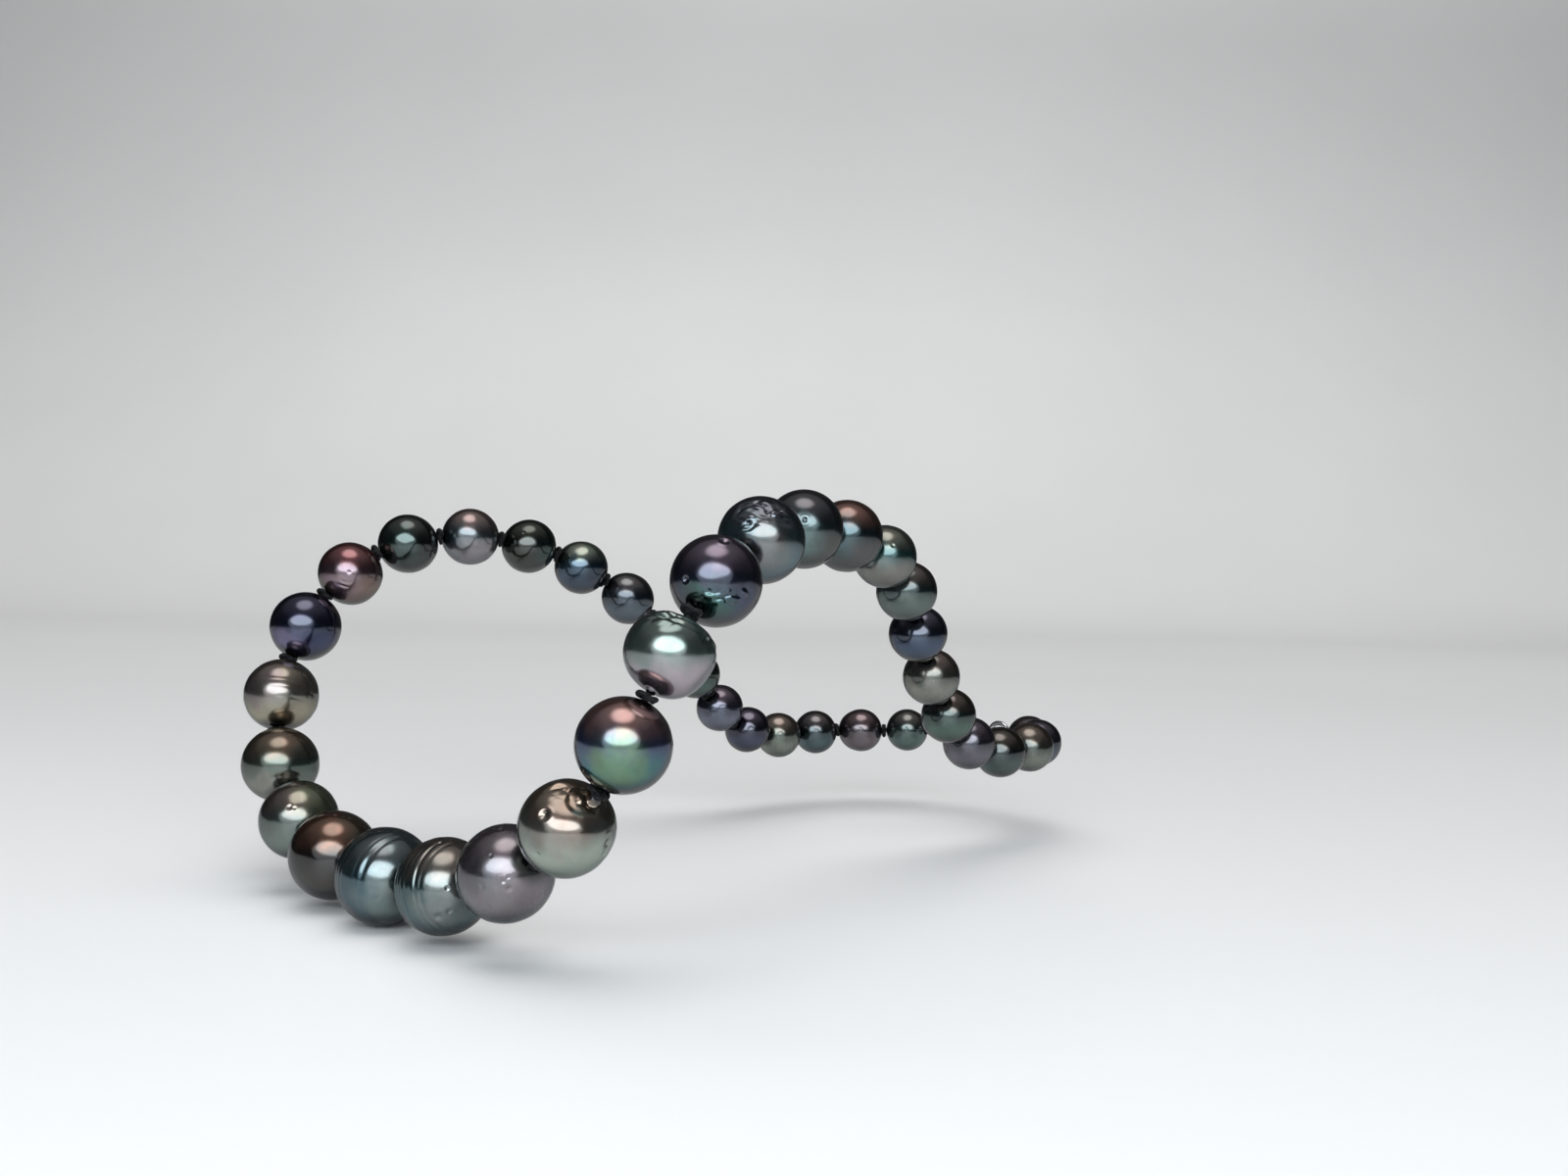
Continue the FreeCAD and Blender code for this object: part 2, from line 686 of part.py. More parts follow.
def make_claw(station):
    body = new_body("claw")
    outline = new_sketch(body, "claw_outline", "XY_Plane")
    body_left = "(2 * Sizes.eye_radius + Sizes.claw_width / 2)"
    slot_profile(outline, "outline",
                 (evaluate(body_left), body_left),
                 (evaluate(HOOK_CENTRE), HOOK_CENTRE),
                 (evaluate(HALF), HALF))
    pad(body, "claw_plate", outline, "Sizes.claw_thickness")

    eye = new_sketch(body, "claw_eye_outline", "XY_Plane")
    circle_profile(eye, "eye", (evaluate(EYE_OUTSIDE), EYE_OUTSIDE), (0, None),
                   (evaluate(EYE_OUTSIDE), EYE_OUTSIDE))
    plate = pad(body, "claw_eye", eye, "Sizes.claw_thickness")

    doc.recompute()
    rounded = body.newObject("PartDesign::Fillet", "claw_rounded")
    rounded.Base = (plate, outer_edges(plate.Shape, size("claw_thickness") / 2))
    rounded.setExpression("Radius", "Sizes.claw_edge")

    mouth = new_sketch(body, "claw_mouth_outline", "XY_Plane")
    slot_profile(mouth, "mouth",
                 (evaluate(MOUTH_LEFT), MOUTH_LEFT),
                 (evaluate(HOOK_CENTRE), HOOK_CENTRE),
                 (evaluate(MOUTH_HALF), MOUTH_HALF))
    pocket(body, "claw_mouth", mouth, "Sizes.claw_thickness * 2")

    gap = new_sketch(body, "claw_gate_gap_outline", "XY_Plane")
    gap_left = "(%s + Sizes.lever_lobe + Sizes.lever_fit)" % PIVOT_X
    slant = "(%s - Sizes.claw_wall / 4)" % GATE_TIP
    polygon_profile(gap, "gap", [
        (gap_left, "(%s / 2)" % MOUTH_HALF),
        (GATE_TIP, "(%s / 2)" % MOUTH_HALF),
        (GATE_TIP, MOUTH_HALF),
        (slant, HALF),
        (slant, "Sizes.claw_width"),
        (gap_left, "Sizes.claw_width"),
    ])
    pocket(body, "claw_gate_gap", gap, "Sizes.claw_thickness * 2")

    slot = new_sketch(body, "claw_lever_slot_outline", "XY_Plane")
    polygon_profile(slot, "slot", [
        (SLOT_LEFT, SLOT_FLOOR),
        (MOUTH_LEFT, SLOT_FLOOR),
        (MOUTH_LEFT, "Sizes.claw_width"),
        (SLOT_LEFT, "Sizes.claw_width"),
    ])
    pocket(body, "claw_lever_slot", slot, "Sizes.lever_thickness + 2 * Sizes.lever_fit")

    holes = new_sketch(body, "claw_holes_outline", "XY_Plane")
    circle_profile(holes, "eye_hole", (evaluate(EYE_OUTSIDE), EYE_OUTSIDE), (0, None),
                   (size("eye_radius"), "Sizes.eye_radius"))
    pin_radius = "Sizes.pin_width / 2"
    circle_profile(holes, "pin_hole", (evaluate(PIVOT_X), PIVOT_X), (evaluate(PIVOT_Y), PIVOT_Y),
                   (evaluate(pin_radius), pin_radius))
    pocket(body, "claw_holes", holes, "Sizes.claw_thickness * 2")
    body.Placement = clasp_place(station, CLASP_AXIS * -1)
    return body


def outer_edges(shape, height):
    """Names of the edges round the flat faces at +height and -height."""
    names = []
    for index, edge in enumerate(shape.Edges, 1):
        box = edge.BoundBox
        level = abs(box.ZMax - box.ZMin) < 1e-6
        if level and abs(abs(box.ZMax) - height) < 1e-6:
            names.append("Edge%d" % index)
    return names


def make_lever(station):
    """The sprung gate: a lobe on the pin, a straight blade to the hook, and a thumb tab."""
    body = new_body("claw_lever")
    lobe = new_sketch(body, "lever_lobe_outline", "XY_Plane")
    circle_profile(lobe, "lobe", (evaluate(PIVOT_X), PIVOT_X), (evaluate(PIVOT_Y), PIVOT_Y),
                   (size("lever_lobe"), "Sizes.lever_lobe"))
    pad(body, "lever_lobe_pad", lobe, "Sizes.lever_thickness")

    blade = new_sketch(body, "lever_blade_outline", "XY_Plane")
    inside = "(%s + Sizes.lever_fit)" % MOUTH_HALF
    outside = "(%s - Sizes.lever_fit)" % HALF
    tip_low = "(%s - Sizes.lever_fit)" % GATE_TIP
    tip_high = "(%s - Sizes.claw_wall / 4 - Sizes.lever_fit)" % GATE_TIP
    tab_left = "(%s + Sizes.lever_lobe)" % PIVOT_X
    tab_right = "(%s + 2 * Sizes.lever_lobe)" % PIVOT_X
    polygon_profile(blade, "blade", [
        ("(%s - Sizes.lever_lobe / 2)" % PIVOT_X, "(%s + Sizes.lever_lobe / 2)" % PIVOT_Y),
        (tab_left, "(%s + Sizes.lever_lobe / 4)" % PIVOT_Y),
        (tab_right, inside),
        (tip_low, inside),
        (tip_high, outside),
        (tab_right, outside),
        (tab_right, "(%s + Sizes.tab_length)" % HALF),
        (tab_left, "(%s + Sizes.tab_length)" % HALF),
        ("(%s - Sizes.lever_lobe / 2)" % PIVOT_X, outside),
    ])
    pad(body, "lever_blade_pad", blade, "Sizes.lever_thickness")

    hole = new_sketch(body, "lever_hole_outline", "XY_Plane")
    bore = "Sizes.pin_width / 2 + Sizes.pin_fit"
    circle_profile(hole, "pin_hole", (evaluate(PIVOT_X), PIVOT_X), (evaluate(PIVOT_Y), PIVOT_Y),
                   (evaluate(bore), bore))
    pocket(body, "lever_hole", hole, "Sizes.lever_thickness * 2")
    body.Placement = clasp_place(station, CLASP_AXIS * -1)
    return body


def make_pin(station):
    pin = doc.addObject("Part::Cylinder", "lever_pin")
    pin.Label = "lever_pin"
    pin.setExpression("Radius", "Sizes.pin_width / 2")
    pin.setExpression("Height", "Sizes.claw_thickness")
    local = FreeCAD.Placement(V(evaluate(PIVOT_X), evaluate(PIVOT_Y), -size("claw_thickness") / 2),
                              FreeCAD.Rotation())
    pin.Placement = clasp_place(station, CLASP_AXIS * -1).multiply(local)
    return pin


def make_spring(station):
    """A leaf spring lying on the slot's floor and rising to the underside of the blade."""
    body = new_body("lever_spring")
    sketch = new_sketch(body, "spring_outline", "XY_Plane")
    left = "(%s + Sizes.lever_fit)" % SLOT_LEFT
    floor = "(%s + Sizes.spring_gauge / 4)" % SLOT_FLOOR
    over_floor = "(%s + Sizes.spring_gauge)" % floor
    bend = "(%s + Sizes.lever_lobe + Sizes.spring_gauge)" % PIVOT_X
    rise = "(%s + 2 * Sizes.lever_lobe + Sizes.spring_gauge)" % PIVOT_X
    under_blade = "(%s + Sizes.lever_fit / 2)" % MOUTH_HALF
    polygon_profile(sketch, "leaf", [
        (left, floor),
        (bend, floor),
        ("(%s + Sizes.spring_gauge)" % rise, under_blade),
        (rise, under_blade),
        ("(%s - Sizes.spring_gauge / 2)" % bend, over_floor),
        (left, over_floor),
    ])
    pad(body, "spring_leaf", sketch, "Sizes.spring_width")
    body.Placement = clasp_place(station, CLASP_AXIS * -1)
    return body


def make_clasp():
    at = clasp_stations()
    return [
        make_sheath("silk_sheath_right", at["right_loop"], CLASP_AXIS),
        make_ring("end_ring", at["end_ring"]),
        make_claw(at["eye_tip"]),
        make_lever(at["eye_tip"]),
        make_pin(at["eye_tip"]),
        make_spring(at["eye_tip"]),
        make_ring("jump_ring", at["jump_ring"]),
        make_sheath("silk_sheath_left", at["left_loop"], CLASP_AXIS * -1),
    ]


# --- build, check and write ----------------------------------------------------------------

def main():
    parts = [make_pearl(number) for number in range(1, PEARL_COUNT + 1)]
    parts += [make_silk(*run) for run in SILK]
    parts += make_clasp()
    SHEET.clear("D1")
    doc.recompute()

    for obj in doc.Objects:
        if "Invalid" in obj.State or "Error" in obj.State:
            raise RuntimeError("%s failed: %s" % (obj.Label, obj.State))
    for part in parts:
        shape = part.Shape
        if shape.isNull() or not shape.isValid() or len(shape.Solids) != 1:
            raise RuntimeError("%s has no single valid solid" % part.Label)

    os.makedirs("parts", exist_ok=True)
    for part in parts:
        part.Shape.exportStep("parts/%s.step" % part.Label)
    strand = sum(pitch(number) for number in range(1, PEARL_COUNT + 1)) + clasp_span()
    print("%d nodes, strand %.1f mm with its clasp" % (len(parts), strand))


main()
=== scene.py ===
import json
import math

import bpy
import numpy as np
from mathutils import Matrix, Vector


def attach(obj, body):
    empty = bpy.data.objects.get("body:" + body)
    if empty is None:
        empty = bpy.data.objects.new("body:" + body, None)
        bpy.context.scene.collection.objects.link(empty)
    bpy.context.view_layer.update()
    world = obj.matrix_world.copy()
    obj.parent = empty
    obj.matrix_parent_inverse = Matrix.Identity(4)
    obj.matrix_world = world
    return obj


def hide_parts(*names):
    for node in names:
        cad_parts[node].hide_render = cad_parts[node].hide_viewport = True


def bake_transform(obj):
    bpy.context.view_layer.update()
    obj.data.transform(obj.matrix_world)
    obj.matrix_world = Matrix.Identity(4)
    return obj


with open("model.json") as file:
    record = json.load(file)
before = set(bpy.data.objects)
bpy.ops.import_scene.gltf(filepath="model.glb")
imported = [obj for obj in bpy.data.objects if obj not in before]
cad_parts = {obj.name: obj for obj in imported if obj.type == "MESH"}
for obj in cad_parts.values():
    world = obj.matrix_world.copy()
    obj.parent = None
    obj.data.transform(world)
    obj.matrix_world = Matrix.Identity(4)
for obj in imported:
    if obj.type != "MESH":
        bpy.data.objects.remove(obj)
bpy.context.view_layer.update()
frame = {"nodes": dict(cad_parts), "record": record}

MM = 0.001
BEHAVIOUR = frame["record"]["behaviour"]
JOINTS = {joint["name"]: joint for joint in BEHAVIOUR["joints"]}
BODY_OF = {node: body for body, nodes in BEHAVIOUR["bodies"].items() for node in nodes}
FLOOR_Z = -0.0455
PEARL_COUNT = 39
UP = Vector((0, 0, 1))

# The camera, as the photograph was taken.
EYE = Vector((0.005, -0.1755, 0.00228))
LENS = 33.52
SENSOR_WIDTH = 36.0
TILT_DOWN = 0.014
ROLL = 0.018

# The pearls' meshes: rings along a half, and points round it on a pearl that the photograph
# shows and on a hidden one.
PROFILE_STEPS = 84
TURNS_SEEN = 224
TURNS_HIDDEN = 96
SEEN = range(10, 31)

# A drill hole, in millimetres: its wall, as steps out from the hole and down from its mouth,
# and how much wider the mouth is than the hole.
HOLE_WALL = ((0.0, 1.2), (0.0, 0.35), (0.02, 0.10), (0.06, 0.02))
HOLE_LIP = 0.10
MARKS_FADE = 5.0        # rings from the mouth over which the marks come in

# How uneven a pearl's outline is, as a share of its radius, and the least that it is lowered
# by, in millimetres.
UNEVEN = 0.016
UNEVEN_SMOOTHEST = 0.010
SMOOTHEST = (12, 16, 21)
LOWERED = 0.012

# A body colour under the clear skin: how much darker and how much purer than it looks.
BODY_SHARE = 0.74
BODY_PURITY = 1.45

# The silk, in millimetres.
PLIES = 3
PLY_RADIUS = 0.18
PLY_OFFSET = 0.15       # a ply's distance from the thread's middle
PLY_PITCH = 1.5         # thread length for one turn of the plies
PLY_STEP = 0.16         # thread length from one ring of a ply to the next
KNOT_LENGTH = 0.90      # the CAD knot's, which the knots' places come from
KNOT_SPREAD = 0.41      # of the overhand curve, across the strand
KNOT_RISE = 0.15        # and along it
KNOT_THREAD = 0.31
KNOT_SEED = 500
FLEX_REACH = 1.5        # from a knot that flexes to the end of the run beside it
FLEX_LAP = 0.4          # how far the knot's own thread laps into that run

# The end loops and their coils, in millimetres, and half a coil's angle in degrees.
THREAD_RADIUS = 0.33
LOOP_LEG = 0.80
LOOP_RADIUS = 1.60
COIL_RADIUS = 0.51
COIL_WIRE = 0.11
COIL_HALF_ANGLE = 140.0
COIL_TURN_STEPS = 16
COIL_SLACK = 0.97       # keeps the coil's turns just clear of each other

# The studio's sweep, in metres: where its floor begins and ends, the bend's radius, the
# backdrop's top and half the width.
FLOOR_FRONT = -1.4
FLOOR_BACK = 0.9
SWEEP_BEND = 0.7
SWEEP_TOP = 2.6
SWEEP_HALF = 4.0


# --- camera --------------------------------------------------------------------------------

def make_camera():
    data = bpy.data.cameras.new("camera")
    data.lens = LENS
    data.sensor_width = SENSOR_WIDTH
    data.clip_start = 0.01
    data.clip_end = 20.0
    camera = bpy.data.objects.new("camera", data)
    bpy.context.scene.collection.objects.link(camera)
    level = Matrix.Rotation(math.pi / 2 - TILT_DOWN, 4, "X")
    roll = Matrix.Rotation(ROLL, 4, "Z")
    camera.matrix_world = Matrix.Translation(EYE) @ level @ roll
    bpy.context.scene.camera = camera


# --- meshes --------------------------------------------------------------------------------

def mesh_from(name, points, faces):
    """A smooth-shaded mesh."""
    mesh = bpy.data.meshes.new(name)
    sizes = np.array([len(face) for face in faces])
    mesh.vertices.add(len(points))
    mesh.vertices.foreach_set("co", np.array(points, dtype=np.float32).ravel())
    mesh.loops.add(int(sizes.sum()))
    mesh.loops.foreach_set("vertex_index", np.concatenate(faces).astype(np.int32))
    mesh.polygons.add(len(sizes))
    mesh.polygons.foreach_set("loop_start", (np.cumsum(sizes) - sizes).astype(np.int32))
    mesh.polygons.foreach_set("use_smooth", np.ones(len(sizes), dtype=bool))
    mesh.update(calc_edges=True)
    mesh.validate()
    return mesh


def tube(points, radius, sides, closed=False):
    """Vertices and faces of a round tube along points."""
    points = np.array(points)
    count = len(points)
    if closed:
        tangents = np.roll(points, -1, 0) - np.roll(points, 1, 0)
    else:
        tangents = np.gradient(points, axis=0)
    tangents /= np.linalg.norm(tangents, axis=1)[:, None]
    normal = np.cross(tangents[0], [0.31, 0.52, 0.79])
    normal /= np.linalg.norm(normal)
    normals = []
    for tangent in tangents:
        normal = normal - tangent * (normal @ tangent)
        normal /= np.linalg.norm(normal)
        normals.append(normal)
    normals = np.array(normals)
    other = np.cross(tangents, normals)
    angles = np.linspace(0, 2 * math.pi, sides, endpoint=False)
    rings = (points[:, None] + radius * (np.cos(angles)[None, :, None] * normals[:, None]
                                         + np.sin(angles)[None, :, None] * other[:, None]))
    faces = []
    for i in range(count if closed else count - 1):
        j = (i + 1) % count
        for k in range(sides):
            m = (k + 1) % sides
            faces.append((i * sides + k, i * sides + m, j * sides + m, j * sides + k))
    if not closed:
        faces.append(tuple(range(sides))[::-1])
        faces.append(tuple((count - 1) * sides + k for k in range(sides)))
    return rings.reshape(-1, 3), faces


def joined(pieces):
    """Several (vertices, faces) as one."""
    vertices, faces, start = [], [], 0
    for points, polygons in pieces:
        vertices.append(points)
        faces += [tuple(i + start for i in polygon) for polygon in polygons]
        start += len(points)
    return np.concatenate(vertices), faces


def add_piece(name, mesh, material, node):
    """A visual piece that stands for a CAD node."""
    mesh.materials.append(material)
    piece = bpy.data.objects.new(name, mesh)
    bpy.context.scene.collection.objects.link(piece)
    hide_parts(node)
    return piece


# --- node helpers --------------------------------------------------------------------------

RANGE_INPUTS = ("From Min", "From Max", "To Min", "To Max")
MIX_INPUTS = (0, 6, 7)      # a colour mix's factor and its two colours
MIX_OUTPUT = 2


class Nodes:
    """A node tree, with short ways to add to it."""

    def __init__(self, tree):
        self.tree = tree

    def node(self, kind, **settings):
        made = self.tree.nodes.new(kind)
        for key, value in settings.items():
            setattr(made, key, value)
        return made

    def link(self, source, target):
        self.tree.links.new(source, target)

    def noise(self, vector, scale, detail=2.0, roughness=0.5, distortion=0.0):
        made = self.node("ShaderNodeTexNoise")
        made.inputs["Scale"].default_value = scale
        made.inputs["Detail"].default_value = detail
        made.inputs["Roughness"].default_value = roughness
        made.inputs["Distortion"].default_value = distortion
        self.link(vector, made.inputs["Vector"])
        return made.outputs["Fac"]

    def math(self, operation, first, second=None, third=None):
        made = self.node("ShaderNodeMath", operation=operation)
        for socket, value in zip(made.inputs, (first, second, third)):
            if value is None:
                continue
            if isinstance(value, (int, float)):
                socket.default_value = value
            else:
                self.link(value, socket)
        return made.outputs[0]

    def dot(self, vector, direction):
        made = self.node("ShaderNodeVectorMath", operation="DOT_PRODUCT")
        made.inputs[1].default_value = direction
        self.link(vector, made.inputs[0])
        return made.outputs["Value"]

    def ramp(self, factor, stops, interpolation="B_SPLINE"):
        made = self.node("ShaderNodeValToRGB")
        made.color_ramp.interpolation = interpolation
        elements = made.color_ramp.elements
        while len(elements) < len(stops):
            elements.new(0.5)
        for element, (position, colour) in zip(elements, stops):
            element.position = position
            element.color = (*colour, 1.0)
        self.link(factor, made.inputs["Fac"])
        return made.outputs["Color"]

    def spread(self, factor, low, high, new_low, new_high):
        made = self.node("ShaderNodeMapRange", interpolation_type="SMOOTHSTEP")
        for name, value in zip(RANGE_INPUTS, (low, high, new_low, new_high)):
            made.inputs[name].default_value = value
        self.link(factor, made.inputs["Value"])
        return made.outputs["Result"]

    def mix(self, factor, first, second, blend="MIX"):
        made = self.node("ShaderNodeMix", data_type="RGBA", blend_type=blend)
        for index, value in zip(MIX_INPUTS, (factor, first, second)):
            socket = made.inputs[index]
            if isinstance(value, (int, float)):
                socket.default_value = value
            elif isinstance(value, tuple):
                socket.default_value = (*value, 1.0)
            else:
                self.link(value, socket)
        return made.outputs[MIX_OUTPUT]


class Shader(Nodes):
    """A material's nodes, with its output and Principled shader in place."""

    def __init__(self, name):
        self.material = bpy.data.materials.new(name)
        self.material.use_nodes = True
        super().__init__(self.material.node_tree)
        self.main = self.tree.nodes["Principled BSDF"]

    def local(self, centre, scale):
        """Object coordinates about a centre, in units of 1 / scale."""
        place = self.node("ShaderNodeTexCoord")
        mapping = self.node("ShaderNodeMapping")
        mapping.inputs["Location"].default_value = [-c * scale for c in centre]
        mapping.inputs["Scale"].default_value = (scale, scale, scale)
        self.link(place.outputs["Object"], mapping.inputs["Vector"])
        return mapping.outputs["Vector"]

    def bump(self, height, distance, strength):
        made = self.node("ShaderNodeBump")
        made.inputs["Strength"].default_value = strength
        made.inputs["Distance"].default_value = distance
        self.link(height, made.inputs["Height"])
        self.link(made.outputs["Normal"], self.main.inputs["Normal"])

    def set(self, **values):
        for name, value in values.items():
            self.main.inputs[name.replace("_", " ")].default_value = value


def linear(colour):
    """A display colour as the scene's linear light."""
    return tuple(((c + 0.055) / 1.055) ** 2.4 if c > 0.04045 else c / 12.92 for c in colour)


def vivid(colour):
    """A pearl's colour, painted reflection included, as its body under the clear skin gives it back:
    darker and purer.
    """
    body = linear(colour)
    grey = sum(body) / 3
    return tuple(max(0.0, BODY_SHARE * (grey + BODY_PURITY * (c - grey))) for c in body)


# --- pearls --------------------------------------------------------------------------------

# Each pearl's colours from its underside to its crown, as (low, middle, high), partly its body colour
# and partly painted reflection: the lit floor in the underside, the dim room in the middle and the
# ceiling in the crown; a patch of another overtone with the way it faces (right, up), and its gloss
# (satin 0 to mirror 1).
LOOKS = {
    1: ((.42, .45, .44), (.24, .28, .28), (.45, .40, .40), None, .6),
    2: ((.30, .36, .40), (.16, .20, .24), (.36, .34, .38), None, .7),
    3: ((.55, .56, .53), (.34, .36, .34), (.52, .46, .42), None, .5),
    4: ((.26, .34, .32), (.12, .17, .17), (.36, .34, .30), None, .8),
    5: ((.46, .44, .48), (.28, .27, .31), (.44, .40, .44), None, .6),
    6: ((.34, .44, .40), (.18, .24, .23), (.42, .38, .34), None, .7),
    7: ((.60, .60, .57), (.40, .40, .38), (.55, .49, .46), None, .5),
    8: ((.24, .32, .42), (.12, .15, .22), (.32, .31, .38), None, .8),
    9: ((.42, .47, .45), (.22, .27, .27), (.48, .44, .42), None, .6),
    10: ((.56, .56, .54), (.24, .38, .38), (.56, .57, .52), None, .6),
    11: ((.32, .31, .31), (.12, .20, .23), (.60, .46, .42), ((.20, .36, .38), (-.4, .0)), .8),
    12: ((.28, .30, .28), (.22, .27, .28), (.34, .34, .35), ((.44, .54, .54), (-.2, -.3)), .6),
    13: ((.42, .50, .53), (.36, .43, .45), (.34, .34, .37), ((.56, .52, .50), (.1, -.2)), .7),
    14: ((.20, .24, .34), (.20, .22, .29), (.44, .40, .45), ((.10, .42, .34), (-.25, -.62)), .9),
    15: ((.80, .75, .78), (.58, .62, .60), (.50, .54, .52), ((.16, .30, .32), (-.45, -.95)), .8),
    16: ((.05, .44, .46), (.34, .38, .50), (.68, .57, .54), ((.52, .64, .48), (-.15, -.42)), .9),
    17: ((.76, .79, .75), (.58, .58, .56), (.58, .50, .44), ((.56, .46, .42), (-.1, .05)), .9),
    18: ((.57, .56, .57), (.45, .45, .47), (.54, .52, .53), ((.60, .57, .58), (.3, -.5)), .5),
    19: ((.32, .42, .44), (.30, .38, .39), (.54, .50, .47), ((.60, .59, .58), (.0, -.4)), .8),
    20: ((.10, .34, .39), (.30, .39, .42), (.44, .48, .48), ((.56, .60, .58), (.1, -.5)), .7),
    21: ((.20, .17, .15), (.08, .07, .07), (.52, .39, .33), ((.38, .38, .32), (.7, .5)), .8),
    22: ((.52, .57, .54), (.42, .46, .44), (.56, .52, .49), ((.54, .60, .48), (.5, .6)), .7),
    23: ((.62, .61, .58), (.36, .39, .36), (.52, .45, .39), ((.32, .38, .36), (.7, -.2)), .7),
    24: ((.72, .70, .63), (.54, .54, .51), (.58, .55, .50), ((.60, .57, .57), (-.6, .3)), .6),
    25: ((.09, .19, .36), (.06, .12, .22), (.19, .18, .29), ((.58, .54, .66), (-.55, -.6)), .8),
    26: ((.56, .48, .44), (.38, .32, .34), (.56, .38, .38), ((.64, .58, .62), (-.3, -.4)), .6),
    27: ((.10, .15, .14), (.06, .10, .09), (.24, .26, .24), ((.20, .30, .28), (-.3, .0)), .9),
    28: ((.66, .65, .66), (.40, .44, .45), (.64, .58, .56), ((.20, .30, .34), (-.8, -.2)), .6),
    29: ((.10, .13, .08), (.06, .09, .06), (.20, .23, .17), ((.14, .26, .26), (.8, -.2)), .9),
    30: ((.20, .28, .36), (.20, .30, .36), (.62, .66, .60), ((.06, .12, .20), (.7, -.2)), .8),
    31: ((.38, .42, .46), (.18, .22, .26), (.44, .42, .42), None, .7),
    32: ((.60, .57, .56), (.38, .37, .38), (.54, .48, .46), None, .5),
    33: ((.30, .38, .35), (.14, .20, .18), (.38, .38, .34), None, .8),
    34: ((.48, .50, .56), (.28, .30, .36), (.46, .42, .46), None, .6),
    35: ((.24, .26, .36), (.12, .13, .20), (.34, .30, .36), None, .8),
    36: ((.58, .61, .57), (.36, .39, .36), (.54, .50, .46), None, .5),
    37: ((.32, .40, .42), (.16, .22, .24), (.42, .38, .38), None, .7),
    38: ((.50, .46, .48), (.30, .28, .30), (.48, .42, .42), None, .6),
    39: ((.40, .48, .46), (.22, .28, .27), (.44, .42, .40), None, .7),
}

